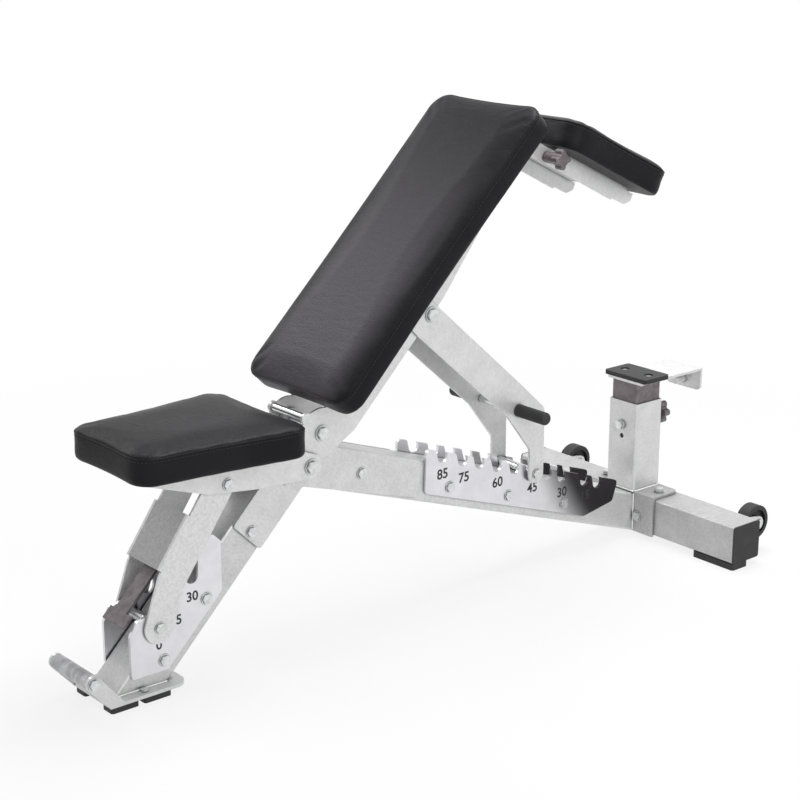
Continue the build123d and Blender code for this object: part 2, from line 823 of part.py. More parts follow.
# Rubber end caps, each with a foot under the tube
with BuildPart() as end_caps:
    with BuildSketch(Plane.XZ.offset(cross_half_length)):
        with Locations((rear_x, cross_z)):
            RectangleRounded(tube, tube, tube_round)
    extrude(amount=end_cap)
    with BuildSketch() as sole:
        with BuildLine():
            Polyline(
                (rear_x - half, -cross_half_length - end_cap),
                (rear_x + foot_back, -cross_half_length - end_cap),
                (rear_x + foot_back, foot_length - cross_half_length),
                (rear_x - half, foot_length - cross_half_length),
                close=True,
            )
        make_face()
        fillet(sole.vertices(), foot_round)
    extrude(amount=cross_floor)
    with BuildSketch(Plane.XZ.offset(cross_half_length)):
        with Locations((rear_x, cross_z)):
            Rectangle(2 * hollow - 2 * post_fit, 2 * hollow - 2 * post_fit)
    extrude(amount=-foot_length / 4)
    with BuildSketch(Plane.XZ.offset(cross_half_length)):
        with BuildLine():
            Polyline(
                (rear_x - half + foot_round, cross_floor / 2),
                (rear_x + foot_back - foot_round, cross_floor / 2),
                (rear_x + foot_back - foot_round, cross_z),
                (rear_x - half + foot_round, cross_z),
                close=True,
            )
        make_face()
    extrude(amount=end_cap)
    mirror(about=Plane.XZ)
end_caps.part.label = "end_caps"
export_step(end_caps.part, "parts/end_caps.step")

# Forks on the rear face of the cross tube, for the transport wheels
fork_inner = wheel_width / 2 + fork_gap
wheel_x = rear_x + wheel_behind
with BuildPart() as wheel_forks:
    with BuildSketch(side(wheel_y + fork_inner)):
        with BuildLine():
            Line((rear_x + half, wheel_z - fork_height / 2), (rear_x + half, wheel_z + fork_height / 2))
            CenterArc((wheel_x, wheel_z), fork_tip, 0, 360)
        make_hull()
        with Locations((wheel_x, wheel_z)):
            Circle(wheel_axle + pin_fit, mode=Mode.SUBTRACT)
    extrude(amount=fork_plate)
    with BuildSketch(side(wheel_y - fork_inner - fork_plate)):
        with BuildLine():
            Line((rear_x + half, wheel_z - fork_height / 2), (rear_x + half, wheel_z + fork_height / 2))
            CenterArc((wheel_x, wheel_z), fork_tip, 0, 360)
        make_hull()
        with Locations((wheel_x, wheel_z)):
            Circle(wheel_axle + pin_fit, mode=Mode.SUBTRACT)
    extrude(amount=fork_plate)
    mirror(about=Plane.XZ)
wheel_forks.part.label = "wheel_forks"
export_step(wheel_forks.part, "parts/wheel_forks.step")

# Axle bolts of the wheels
axle_half = fork_inner + fork_plate
with BuildPart() as wheel_axles:
    with BuildSketch(side(wheel_y - axle_half)):
        with Locations((wheel_x, wheel_z)):
            Circle(wheel_axle)
    extrude(amount=2 * axle_half)
    with BuildSketch(side(wheel_y + axle_half)):
        with Locations((wheel_x, wheel_z)):
            RegularPolygon(bolt_hex_radius, 6)
    extrude(amount=bolt_head)
    with BuildSketch(side(wheel_y - axle_half)):
        with Locations((wheel_x, wheel_z)):
            RegularPolygon(bolt_hex_radius, 6)
    extrude(amount=-bolt_head)
    mirror(about=Plane.XZ)
wheel_axles.part.label = "wheel_axles"
export_step(wheel_axles.part, "parts/wheel_axles.step")

# Wheels turned from one profile, with a thinner web between hub and tread
wheel_profile = (
    (wheel_axle + pin_fit, -wheel_width / 2),
    (wheel_hub, -wheel_width / 2),
    (wheel_hub, -wheel_web / 2),
    (wheel_radius - wheel_tread, -wheel_web / 2),
    (wheel_radius - wheel_tread, -wheel_width / 2),
    (wheel_radius - edge, -wheel_width / 2),
    (wheel_radius, -wheel_width / 2 + edge),
    (wheel_radius, wheel_width / 2 - edge),
    (wheel_radius - edge, wheel_width / 2),
    (wheel_radius - wheel_tread, wheel_width / 2),
    (wheel_radius - wheel_tread, wheel_web / 2),
    (wheel_hub, wheel_web / 2),
    (wheel_hub, wheel_width / 2),
    (wheel_axle + pin_fit, wheel_width / 2),
)
with BuildPart() as wheel_near:
    with BuildSketch(Plane(origin=(wheel_x, -wheel_y, wheel_z), x_dir=(0, 0, 1), z_dir=(1, 0, 0))):
        with BuildLine():
            Polyline(*wheel_profile, close=True)
        make_face()
    revolve(axis=Axis((wheel_x, -wheel_y, wheel_z), (0, 1, 0)))
wheel_near.part.label = "wheel_near"
export_step(wheel_near.part, "parts/wheel_near.step")

with BuildPart() as wheel_far:
    with BuildSketch(Plane(origin=(wheel_x, wheel_y, wheel_z), x_dir=(0, 0, 1), z_dir=(1, 0, 0))):
        with BuildLine():
            Polyline(*wheel_profile, close=True)
        make_face()
    revolve(axis=Axis((wheel_x, wheel_y, wheel_z), (0, 1, 0)))
wheel_far.part.label = "wheel_far"
export_step(wheel_far.part, "parts/wheel_far.step")

# Post on the saddle: outer tube with a stop bolt and a hole in front and a clamp screw behind
with BuildPart() as post_tube:
    with BuildSketch(Plane.XY.offset(saddle_top)):
        with Locations((post_x, 0)):
            RectangleRounded(tube, tube, tube_round)
            Rectangle(2 * hollow, 2 * hollow, mode=Mode.SUBTRACT)
    extrude(amount=post_top - saddle_top)
    with BuildSketch(Plane.YZ.offset(post_x - half)):
        with Locations((0, post_stop_z)):
            Circle(bolt_radius + pin_fit)
        with Locations((0, post_hole_z)):
            Circle(post_hole_radius)
    extrude(amount=tube_wall, mode=Mode.SUBTRACT)
    with BuildSketch(Plane.YZ.offset(post_face)):
        with Locations((0, post_knob_z)):
            Circle(post_screw_radius + pin_fit)
    extrude(amount=-tube_wall, mode=Mode.SUBTRACT)
post_tube.part.label = "post_tube"
export_step(post_tube.part, "parts/post_tube.step")

with BuildPart() as post_stop_bolt:
    with BuildSketch(Plane.YZ.offset(post_x - half)):
        with Locations((0, post_stop_z)):
            Circle(bolt_radius)
    extrude(amount=tube_wall)
    with BuildSketch(Plane.YZ.offset(post_x - half)):
        with Locations((0, post_stop_z)):
            Circle(bolt_hex_radius)
    extrude(amount=-post_stop_boss)
    with BuildSketch(Plane.YZ.offset(post_x - half - post_stop_boss)):
        with Locations((0, post_stop_z)):
            RegularPolygon(bolt_hex_radius, 6)
    extrude(amount=-bolt_head)
post_stop_bolt.part.label = "post_stop_bolt"
export_step(post_stop_bolt.part, "parts/post_stop_bolt.step")

# Inner tube that slides in the post
with BuildPart() as post_inner:
    with BuildSketch(Plane.XY.offset(inner_bottom)):
        with Locations((post_x, 0)):
            RectangleRounded(2 * inner_half, 2 * inner_half, tube_round)
            Rectangle(2 * (inner_half - inner_wall), 2 * (inner_half - inner_wall), mode=Mode.SUBTRACT)
    extrude(amount=inner_top - inner_bottom)
post_inner.part.label = "post_inner"
export_step(post_inner.part, "parts/post_inner.step")

# Bent head plate on the inner tube: a deck to the rear, turned down into a flange with a pin
deck_top = inner_top + deck_plate
pin_tip = rear_x + hook_x - deck_plate - hook_pin_length
with BuildPart() as post_hook:
    with BuildSketch(side(0)) as profile:
        with BuildLine():
            Polyline(
                (post_x - rest_pad_x / 2, inner_top),
                (rear_x + hook_x - deck_plate, inner_top),
                (rear_x + hook_x - deck_plate, hook_bottom),
                (rear_x + hook_x, hook_bottom),
                (rear_x + hook_x, deck_top),
                (post_x - rest_pad_x / 2, deck_top),
                close=True,
            )
        make_face()
    extrude(amount=hook_half, both=True)
    fillet(post_hook.edges().filter_by(Axis.X).group_by(Axis.Z)[0], hook_round)
    with BuildSketch(Plane.YZ.offset(rear_x + hook_x - deck_plate)):
        with Locations((0, hook_pin_z)):
            Circle(hook_pin_radius)
    extrude(amount=-hook_pin_length)
    round_edges = post_hook.edges().filter_by(GeomType.CIRCLE)
    fillet(round_edges.filter_by(lambda e: abs(e.arc_center.X - pin_tip) < edge), edge * 2)
post_hook.part.label = "post_hook"
export_step(post_hook.part, "parts/post_hook.step")

# Rubber rest on top, with two screws sunk in recesses
with BuildPart() as post_pad:
    with BuildSketch(Plane.XY.offset(deck_top)):
        with Locations((post_x, 0)):
            RectangleRounded(rest_pad_x, rest_pad_y, rest_pad_round)
    extrude(amount=rest_pad_z)
    chamfer(post_pad.faces().sort_by(Axis.Z)[-1].edges(), edge)
    with BuildSketch(Plane.XY.offset(deck_top + rest_pad_z)):
        with Locations((post_x, -rest_screw_y), (post_x, rest_screw_y)):
            Circle(rest_recess)
    extrude(amount=-rest_recess_deep, mode=Mode.SUBTRACT)
post_pad.part.label = "post_pad"
export_step(post_pad.part, "parts/post_pad.step")

with BuildPart() as post_pad_screws:
    with BuildSketch(Plane.XY.offset(deck_top + rest_pad_z - rest_recess_deep)):
        with Locations((post_x, -rest_screw_y), (post_x, rest_screw_y)):
            Circle(screw_head_radius)
    extrude(amount=rest_recess_deep / 2)
post_pad_screws.part.label = "post_pad_screws"
export_step(post_pad_screws.part, "parts/post_pad_screws.step")

# Lobed clamp knob behind the post, on a screw that bears on the inner tube
with BuildPart() as post_knob:
    with BuildSketch(Plane.YZ.offset(post_x + inner_half + post_fit)):
        with Locations((0, post_knob_z)):
            Circle(post_screw_radius)
    extrude(amount=tube_wall + post_fit + knob_neck)
    with BuildSketch(Plane.YZ.offset(post_face + post_fit)):
        with Locations((0, post_knob_z)):
            Circle(knob_neck_radius)
    extrude(amount=2 * knob_neck)
    with BuildSketch(Plane.YZ.offset(post_face + post_fit + 2 * knob_neck)):
        with Locations((0, post_knob_z)):
            Circle(knob_radius)
            with PolarLocations(knob_radius, knob_lobes):
                Circle(knob_lobe)
    extrude(amount=knob_thickness)
    chamfer(post_knob.faces().sort_by(Axis.X)[-1].edges(), edge)
post_knob.part.label = "post_knob"
export_step(post_knob.part, "parts/post_knob.step")

# Hinge bolt of the back, through both gusset ears
hinge_face = y_inner + bar + side_gap
with BuildPart() as back_hinge_bolt:
    with BuildSketch(side(0)):
        with Locations(hinge):
            Circle(hinge_radius)
    extrude(amount=hinge_face, both=True)
    with BuildSketch(side(hinge_face)):
        with Locations(hinge):
            Circle(hinge_radius + plate)
    extrude(amount=bolt_flange)
    with BuildSketch(side(hinge_face + bolt_flange)):
        with Locations(hinge):
            RegularPolygon(hinge_radius + bolt_head, 6)
    extrude(amount=plate)
    mirror(about=Plane.XZ)
back_hinge_bolt.part.label = "back_hinge_bolt"
export_step(back_hinge_bolt.part, "parts/back_hinge_bolt.step")

# Side plates of the backrest: hinge lobe with an ear in front, deep as far as the strut, then tapered
with BuildPart() as back_plates:
    with BuildSketch(side(y_inner)):
        with Locations(hinge):
            Circle(back_lobe_radius)
        with BuildLine():
            FilletPolyline(
                on_back(0, -back_lobe_radius),
                on_back(back_lobe_radius, -back_deep),
                on_back(back_taper_u, -back_deep),
                on_back(back_plate_u, -back_tip_deep),
                on_back(back_plate_u, back_edge_v),
                on_back(0, back_edge_v),
                radius=edge * 4,
                close=True,
            )
        make_face()
        SlotCenterPoint(on_back(0, back_ear_v / 2), on_back(0, back_ear_v), back_ear_width)
        with Locations(strut_pivot):
            Circle(pivot_lug_radius)
        with Locations(hinge, strut_pivot):
            Circle(hinge_radius + pin_fit, mode=Mode.SUBTRACT)
        with Locations(on_back(0, toe_bar_v)):
            Circle(toe_bar_radius + pin_fit, mode=Mode.SUBTRACT)
    extrude(amount=bar)
    mirror(about=Plane.XZ)
back_plates.part.label = "back_plates"
export_step(back_plates.part, "parts/back_plates.step")

# Round bar between the ears, below the end of the cushion
with BuildPart() as toe_bar:
    with BuildSketch(side(0)):
        with Locations(on_back(0, toe_bar_v)):
            Circle(toe_bar_radius)
    extrude(amount=y_inner + bar, both=True)
toe_bar.part.label = "toe_bar"
export_step(toe_bar.part, "parts/toe_bar.step")

# Flat straps across the side plates, which carry the cushion
with BuildPart() as back_straps:
    with BuildSketch(tilted(hinge, back_angle).offset(back_edge_v)):
        with Locations(*[(u, 0) for u in back_straps_u]):
            Rectangle(strap_width, 2 * strap_half_length)
    extrude(amount=strap_thickness)
back_straps.part.label = "back_straps"
export_step(back_straps.part, "parts/back_straps.step")

# Cushion of the back: crowned, with sides drawn in between the corners and two seams
with BuildPart() as back_pad:
    for level, inset in cushion_levels(back_pad_thickness):
        with BuildSketch(tilted(hinge, back_angle).offset(back_edge_v + strap_thickness + level)):
            with BuildLine():
                for start, middle, stop in cushion(
                    back_pad_bottom + inset,
                    back_pad_top - inset,
                    back_pad_half - inset,
                    back_pad_half - inset,
                    pad_corner,
                    pad_pull,
                ):
                    ThreePointArc(start, middle, stop)
            make_face()
    loft(ruled=True)
back_pad.part.label = "back_pad"
export_step(back_pad.part, "parts/back_pad.step")

# Pivot bolt of the strut, through the side plates of the back
strut_face = y_outer + bar + side_gap
with BuildPart() as strut_pivot_bolt:
    with BuildSketch(side(0)):
        with Locations(strut_pivot):
            Circle(hinge_radius)
    extrude(amount=strut_face, both=True)
    with BuildSketch(side(strut_face)):
        with Locations(strut_pivot):
            Circle(hinge_radius + plate)
    extrude(amount=bolt_flange)
    with BuildSketch(side(strut_face + bolt_flange)):
        with Locations(strut_pivot):
            RegularPolygon(hinge_radius + bolt_head, 6)
    extrude(amount=plate)
    mirror(about=Plane.XZ)
strut_pivot_bolt.part.label = "strut_pivot_bolt"
export_step(strut_pivot_bolt.part, "parts/strut_pivot_bolt.step")


def on_strut(along, across):
    return at(strut_pivot, -strut_band_drop, along, across)


# Strut of the back: two plates and a web on their upper edge, with legs bent down to the lock rod
leg_left = lock_pin[0] - strut_leg_half
leg_right = lock_pin[0] + strut_leg_half
leg_low = lock_pin[1] - strut_leg_half
bend_z = strut_pivot[1] - strut_bend
with BuildPart() as back_strut:
    with BuildSketch(side(y_outer)):
        with BuildLine():
            FilletPolyline(
                on_strut(-strut_end, strut_above),
                on_strut(strut_web_end, strut_above),
                (leg_right, bend_z + tube),
                (leg_right, leg_low),
                (leg_left, leg_low),
                (leg_left, bend_z),
                on_strut(strut_crotch, -strut_below),
                on_strut(-strut_end, -strut_below),
                radius=strut_leg_half - edge / 10,
                close=True,
            )
        make_face()
        with Locations(strut_pivot):
            Circle(hinge_radius + pin_fit, mode=Mode.SUBTRACT)
        with Locations(on_strut(grip_along, grip_across)):
            Circle(grip_rod_radius + pin_fit, mode=Mode.SUBTRACT)
        with Locations(lock_pin):
            Circle(lock_rod_radius + pin_fit, mode=Mode.SUBTRACT)
    extrude(amount=bar)
    mirror(about=Plane.XZ)
    with BuildSketch(side(0)):
        with BuildLine():
            Polyline(
                on_strut(strut_web_start, strut_above),
                on_strut(strut_web_end - strut_leg_half, strut_above),
                on_strut(strut_web_end - strut_leg_half, strut_above - strut_web),
                on_strut(strut_web_start, strut_above - strut_web),
                close=True,
            )
        make_face()
    extrude(amount=y_outer, both=True)
back_strut.part.label = "back_strut"
export_step(back_strut.part, "parts/back_strut.step")

# Rods of the strut: one to lift it by, one that drops into the notches
with BuildPart() as grip_rod:
    with BuildSketch(side(0)):
        with Locations(on_strut(grip_along, grip_across)):
            Circle(grip_rod_radius)
    extrude(amount=grip_end - grip_radius, both=True)
grip_rod.part.label = "grip_rod"
export_step(grip_rod.part, "parts/grip_rod.step")

with BuildPart() as strut_grips:
    with BuildSketch(side(y_outer + bar)):
        with Locations(on_strut(grip_along, grip_across)):
            Circle(grip_radius)
    extrude(amount=grip_end - y_outer - bar)
    fillet(strut_grips.faces().sort_by(Axis.Y)[0].edges(), grip_radius / 2)
    with BuildSketch(side(y_outer + bar)):
        with Locations(on_strut(grip_along, grip_across)):
            Circle(grip_rod_radius + pin_fit)
    extrude(amount=grip_end - grip_radius - y_outer - bar + pin_fit, mode=Mode.SUBTRACT)
    mirror(about=Plane.XZ)
strut_grips.part.label = "strut_grips"
export_step(strut_grips.part, "parts/strut_grips.step")

with BuildPart() as back_lock_rod:
    with BuildSketch(side(0)):
        with Locations(lock_pin):
            Circle(lock_rod_radius)
    extrude(amount=y_outer + bar, both=True)
    with BuildSketch(side(y_outer + bar)):
        with Locations(lock_pin):
            Circle(lock_rod_radius + bolt_flange)
    extrude(amount=bolt_flange)
    with BuildSketch(side(y_outer + bar + bolt_flange)):
        with Locations(lock_pin):
            RegularPolygon(lock_rod_radius, 6)
    extrude(amount=bolt_head)
    mirror(about=Plane.XZ)
back_lock_rod.part.label = "back_lock_rod"
export_step(back_lock_rod.part, "parts/back_lock_rod.step")

# Pivot bolt of the seat through the knee, with spacers that hold the rails off the gussets
seat_face = y_outer + bar + side_gap
with BuildPart() as seat_pivot_bolt:
    with BuildSketch(side(0)):
        with Locations(seat_pivot):
            Circle(seat_pivot_radius)
    extrude(amount=seat_face, both=True)
    with BuildSketch(side(seat_face)):
        with Locations(seat_pivot):
            Circle(seat_pivot_radius + plate)
    extrude(amount=bolt_flange)
    with BuildSketch(side(seat_face + bolt_flange)):
        with Locations(seat_pivot):
            RegularPolygon(seat_pivot_radius + bolt_head, 6)
    extrude(amount=plate)
    mirror(about=Plane.XZ)
seat_pivot_bolt.part.label = "seat_pivot_bolt"
export_step(seat_pivot_bolt.part, "parts/seat_pivot_bolt.step")

with BuildPart() as seat_spacers:
    with BuildSketch(side(y_ladder + plate)):
        with Locations(seat_pivot):
            Circle(seat_spacer_radius)
            Circle(seat_pivot_radius + pin_fit, mode=Mode.SUBTRACT)
    extrude(amount=y_outer - side_gap - y_ladder - plate)
    mirror(about=Plane.XZ)
seat_spacers.part.label = "seat_spacers"
export_step(seat_spacers.part, "parts/seat_spacers.step")

# Rails of the seat, deep at the strut and tapered to the front
with BuildPart() as seat_rails:
    with BuildSketch(side(y_outer)):
        with BuildLine():
            Polyline(
                on_seat(seat_rear_p, seat_edge_q),
                on_seat(seat_front_p + seat_rail_inset, seat_edge_q),
                on_seat(seat_front_p + seat_rail_inset, seat_edge_q - seat_rail_nose),
                on_seat(seat_strut_p - seat_rail_ahead, seat_strut_q - seat_rail_below),
                on_seat(seat_strut_p + seat_rail_behind, -seat_rail_sag),
            )
            CenterArc(seat_pivot, seat_end_radius, 0, 360)
        make_hull()
        with Locations(seat_pivot):
            Circle(seat_pivot_radius + pin_fit, mode=Mode.SUBTRACT)
        with Locations(seat_top):
            Circle(seat_strut_radius + pin_fit, mode=Mode.SUBTRACT)
    extrude(amount=bar)
    mirror(about=Plane.XZ)
seat_rails.part.label = "seat_rails"
export_step(seat_rails.part, "parts/seat_rails.step")

with BuildPart() as seat_straps:
    with BuildSketch(tilted(seat_pivot, -seat_rise).offset(seat_edge_q)):
        with Locations(*[(p, 0) for p in seat_straps_p]):
            Rectangle(strap_width, 2 * strap_half_length)
    extrude(amount=strap_thickness)
seat_straps.part.label = "seat_straps"
export_step(seat_straps.part, "parts/seat_straps.step")

# Cushion of the seat, narrower at the front
with BuildPart() as seat_pad:
    for level, inset in cushion_levels(seat_pad_thickness):
        with BuildSketch(tilted(seat_pivot, -seat_rise).offset(seat_edge_q + strap_thickness + level)):
            with BuildLine():
                for start, middle, stop in cushion(
                    seat_front_p - seat_pad_ahead + inset,
                    seat_rear_p - inset,
                    seat_front_half - inset,
                    seat_rear_half - inset,
                    pad_corner,
                    pad_pull,
                ):
                    ThreePointArc(start, middle, stop)
            make_face()
    loft(ruled=True)
seat_pad.part.label = "seat_pad"
export_step(seat_pad.part, "parts/seat_pad.step")

# Shaft between the rails that the seat strut hangs on
with BuildPart() as seat_strut_shaft:
    with BuildSketch(side(0)):
        with Locations(seat_top):
            Circle(seat_strut_radius)
    extrude(amount=y_outer + bar, both=True)
    with BuildSketch(side(y_outer + bar)):
        with Locations(seat_top):
            Circle(bolt_flange_radius)
    extrude(amount=bolt_flange)
    with BuildSketch(side(y_outer + bar + bolt_flange)):
        with Locations(seat_top):
            RegularPolygon(bolt_hex_radius, 6)
    extrude(amount=bolt_head)
    mirror(about=Plane.XZ)
seat_strut_shaft.part.label = "seat_strut_shaft"
export_step(seat_strut_shaft.part, "parts/seat_strut_shaft.step")


def on_seat_strut(along, across):
    return at(seat_top, seat_strut_way, along, across)


# Seat strut: two bars with round ends, bent towards the front, and a web on their front edges
bar_bend = on_seat_strut(seat_bend_along, seat_bend_across)
bar_upper = on_seat_strut(seat_bend_along / 2, (seat_bar_top + seat_bend_across) / 2)
bar_lower = on_seat_strut((seat_bend_along + seat_strut_reach) / 2, seat_bend_across / 2)
bar_way = seat_strut_way + degrees(atan2(seat_bend_across - seat_bar_top, seat_bend_along))


def on_bar(along, across):
    return at(on_seat_strut(0, seat_bar_top), bar_way, along, across)


with BuildPart() as seat_strut:
    with BuildSketch(side(y_inner)):
        SlotCenterPoint(bar_upper, bar_bend, 2 * seat_bar_half)
        SlotCenterPoint(bar_lower, seat_lock, 2 * seat_bar_half)
        with Locations(seat_top):
            Circle(seat_strut_radius + pin_fit, mode=Mode.SUBTRACT)
        with Locations(seat_lock):
            Circle(lock_rod_radius + pin_fit, mode=Mode.SUBTRACT)
    extrude(amount=bar)
    mirror(about=Plane.XZ)
    with BuildSketch(side(0)):
        with BuildLine():
            Polyline(
                on_bar(seat_web_start, -seat_bar_half),
                on_bar(seat_web_end, -seat_bar_half),
                on_bar(seat_web_end, -seat_bar_half - plate),
                on_bar(seat_web_start, -seat_bar_half - plate),
                close=True,
            )
        make_face()
    extrude(amount=y_inner + bar, both=True)
seat_strut.part.label = "seat_strut"
export_step(seat_strut.part, "parts/seat_strut.step")

with BuildPart() as seat_lock_rod:
    with BuildSketch(side(0)):
        with Locations(seat_lock):
            Circle(lock_rod_radius)
    extrude(amount=y_inner + bar, both=True)
    with BuildSketch(side(y_inner + bar)):
        with Locations(seat_lock):
            Circle(lock_rod_radius + bolt_flange)
    extrude(amount=bolt_flange)
    with BuildSketch(side(y_inner + bar + bolt_flange)):
        with Locations(seat_lock):
            RegularPolygon(lock_rod_radius, 6)
    extrude(amount=bolt_head)
    mirror(about=Plane.XZ)
seat_lock_rod.part.label = "seat_lock_rod"
export_step(seat_lock_rod.part, "parts/seat_lock_rod.step")

# Finger grip in the shape of a T: a block behind the web and a plate that leans out below it
grip_root = on_bar(seat_web_end, grip_behind - seat_bar_half)
grip_way = bar_way - grip_lean


def on_grip(along, across):
    return at(grip_root, grip_way, along, across)


with BuildPart() as seat_grip:
    with BuildSketch(side(0)):
        with BuildLine():
            Polyline(
                on_bar(seat_web_end - 2 * grip_block, -seat_bar_half),
                on_bar(seat_web_end - grip_block, -seat_bar_half),
                on_grip(-grip_block, 0),
                on_grip(grip_reach, 0),
                on_grip(grip_reach, bar),
                on_grip(-2 * grip_block, bar),
                close=True,
            )
        make_face()
    extrude(amount=grip_neck_half, both=True)
    with BuildSketch(side(0)):
        with BuildLine():
            Polyline(
                on_grip(grip_reach - grip_head_depth, 0),
                on_grip(grip_reach, 0),
                on_grip(grip_reach, bar),
                on_grip(grip_reach - grip_head_depth, bar),
                close=True,
            )
        make_face()
    extrude(amount=grip_head_half, both=True)
seat_grip.part.label = "seat_grip"
export_step(seat_grip.part, "parts/seat_grip.step")

# Lugs under the top strap of the back, which carry the head rest; the clamp screw bears on one
with BuildPart() as head_lugs:
    with BuildSketch(side(head_lug_y)):
        with BuildLine():
            CenterArc(head_pivot, head_lug_radius, 0, 360)
            CenterArc(head_knob, head_lug_tip, 0, 360)
        make_hull()
        with BuildLine():
            Polyline(
                on_back(back_straps_u[-1] - strap_width / 2, back_edge_v),
                on_back(back_straps_u[-1] + strap_width / 2, back_edge_v),
                on_back(head_pivot_u + head_lug_radius, head_pivot_v),
                on_back(head_pivot_u - head_lug_radius, head_pivot_v),
                close=True,
            )
        make_face()
        with Locations(head_pivot):
            Circle(head_pivot_radius + pin_fit, mode=Mode.SUBTRACT)
    extrude(amount=bar)
    mirror(about=Plane.XZ)
head_lugs.part.label = "head_lugs"
export_step(head_lugs.part, "parts/head_lugs.step")

# Pivot bolts of the head rest, one through each lug
head_arm_y = head_lug_y + bar + side_gap
head_arm_face = head_arm_y + bar
with BuildPart() as head_pivot_bolts:
    with BuildSketch(side(head_lug_y)):
        with Locations(head_pivot):
            Circle(head_pivot_radius)
    extrude(amount=head_arm_face + side_gap - head_lug_y)
    with BuildSketch(side(head_arm_face + side_gap)):
        with Locations(head_pivot):
            Circle(bolt_flange_radius)
    extrude(amount=bolt_flange + bolt_head)
    mirror(about=Plane.XZ)
head_pivot_bolts.part.label = "head_pivot_bolts"
export_step(head_pivot_bolts.part, "parts/head_pivot_bolts.step")


def on_head(t, n):
    return at(head_pivot, head_way, t, n)


head_arm_top = head_base - strap_thickness
# Arms of the head rest, stepped at their lower edge; the near one takes the clamp screw
with BuildPart() as head_arms:
    with BuildSketch(side(head_arm_y)):
        with Locations(head_pivot):
            Circle(head_arm_top)
        with BuildLine():
            Polyline(
                on_head(0, -head_arm_top),
                on_head(head_arm_step, -head_arm_top - head_arm_belly),
                on_head(head_arm_step, -head_arm_top),
                on_head(head_arm_length - head_arm_drop, -head_arm_top),
                on_head(head_arm_length, head_arm_top - head_arm_drop),
                on_head(head_arm_length, head_arm_top),
                on_head(0, head_arm_top),
                close=True,
            )
        make_face()
        with Locations(head_pivot):
            Circle(head_pivot_radius + pin_fit, mode=Mode.SUBTRACT)
        with Locations(head_knob):
            Circle(head_knob_screw + pin_fit, mode=Mode.SUBTRACT)
    extrude(amount=bar)
    mirror(about=Plane.XZ)
head_arms.part.label = "head_arms"
export_step(head_arms.part, "parts/head_arms.step")

# Plate across the arms and the cushion of the head rest
with BuildPart() as head_board:
    with BuildSketch(tilted(head_pivot, head_way).offset(head_arm_top)) as outline:
        with Locations(((head_plate_start + head_plate_end) / 2, 0)):
            RectangleRounded(head_plate_end - head_plate_start, 2 * head_plate_half, plate)
    extrude(amount=strap_thickness)
head_board.part.label = "head_board"
export_step(head_board.part, "parts/head_board.step")

with BuildPart() as head_pad:
    for level, inset in cushion_levels(head_pad_thickness):
        with BuildSketch(tilted(head_pivot, head_way).offset(head_base + level)):
            with BuildLine():
                for start, middle, stop in cushion(
                    head_pad_start + inset,
                    head_pad_end - inset,
                    head_pad_half - inset,
                    head_pad_half - inset,
                    pad_corner,
                    pad_pull,
                ):
                    ThreePointArc(start, middle, stop)
            make_face()
    loft(ruled=True)
head_pad.part.label = "head_pad"
export_step(head_pad.part, "parts/head_pad.step")

# Lobed knob on a screw through the near arm, which bears on the lug and clamps the head rest
screw_tip_y = head_lug_y + bar + notch_play
with BuildPart() as head_clamp:
    with BuildSketch(side(screw_tip_y)):
        with Locations(head_knob):
            Circle(head_knob_screw)
    extrude(amount=head_arm_face + notch_play - screw_tip_y + edge)
    with BuildSketch(side(head_arm_face + notch_play)):
        with Locations(head_knob):
            Circle(head_knob_neck_radius)
    extrude(amount=head_knob_neck)
    with BuildSketch(side(head_arm_face + notch_play + head_knob_neck)):
        with Locations(head_knob):
            Circle(head_knob_radius)
            with PolarLocations(head_knob_radius, head_knob_lobes):
                Circle(head_knob_lobe)
    extrude(amount=knob_thickness)
    chamfer(head_clamp.faces().sort_by(Axis.Y)[0].edges(), edge)
head_clamp.part.label = "head_clamp"
export_step(head_clamp.part, "parts/head_clamp.step")
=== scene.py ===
import json
import math

import bmesh
import bpy
from mathutils import Matrix, Vector


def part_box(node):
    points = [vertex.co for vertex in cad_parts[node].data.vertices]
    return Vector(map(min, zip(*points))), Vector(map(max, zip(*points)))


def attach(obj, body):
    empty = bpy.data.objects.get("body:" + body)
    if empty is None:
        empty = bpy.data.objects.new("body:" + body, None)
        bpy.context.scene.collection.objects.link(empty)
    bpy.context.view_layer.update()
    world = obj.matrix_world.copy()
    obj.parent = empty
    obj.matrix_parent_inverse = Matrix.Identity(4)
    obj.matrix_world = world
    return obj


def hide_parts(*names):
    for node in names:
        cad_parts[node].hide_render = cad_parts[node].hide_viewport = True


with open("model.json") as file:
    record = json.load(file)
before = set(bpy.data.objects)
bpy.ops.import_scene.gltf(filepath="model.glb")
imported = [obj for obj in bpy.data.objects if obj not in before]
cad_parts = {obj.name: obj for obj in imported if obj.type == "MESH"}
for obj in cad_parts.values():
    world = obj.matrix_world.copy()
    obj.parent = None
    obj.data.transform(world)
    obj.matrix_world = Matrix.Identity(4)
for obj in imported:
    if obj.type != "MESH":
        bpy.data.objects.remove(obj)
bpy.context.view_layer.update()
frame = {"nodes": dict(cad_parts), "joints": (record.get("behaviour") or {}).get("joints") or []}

node = frame["nodes"]
pivots = {joint["name"]: joint.get("pos_m") for joint in frame["joints"]}

# Tubes and plates of the frame: welded and bolted mild steel with a pale zinc coat.
# The coat is satin, with faint clouds from the bath and fine drawn lines under it.


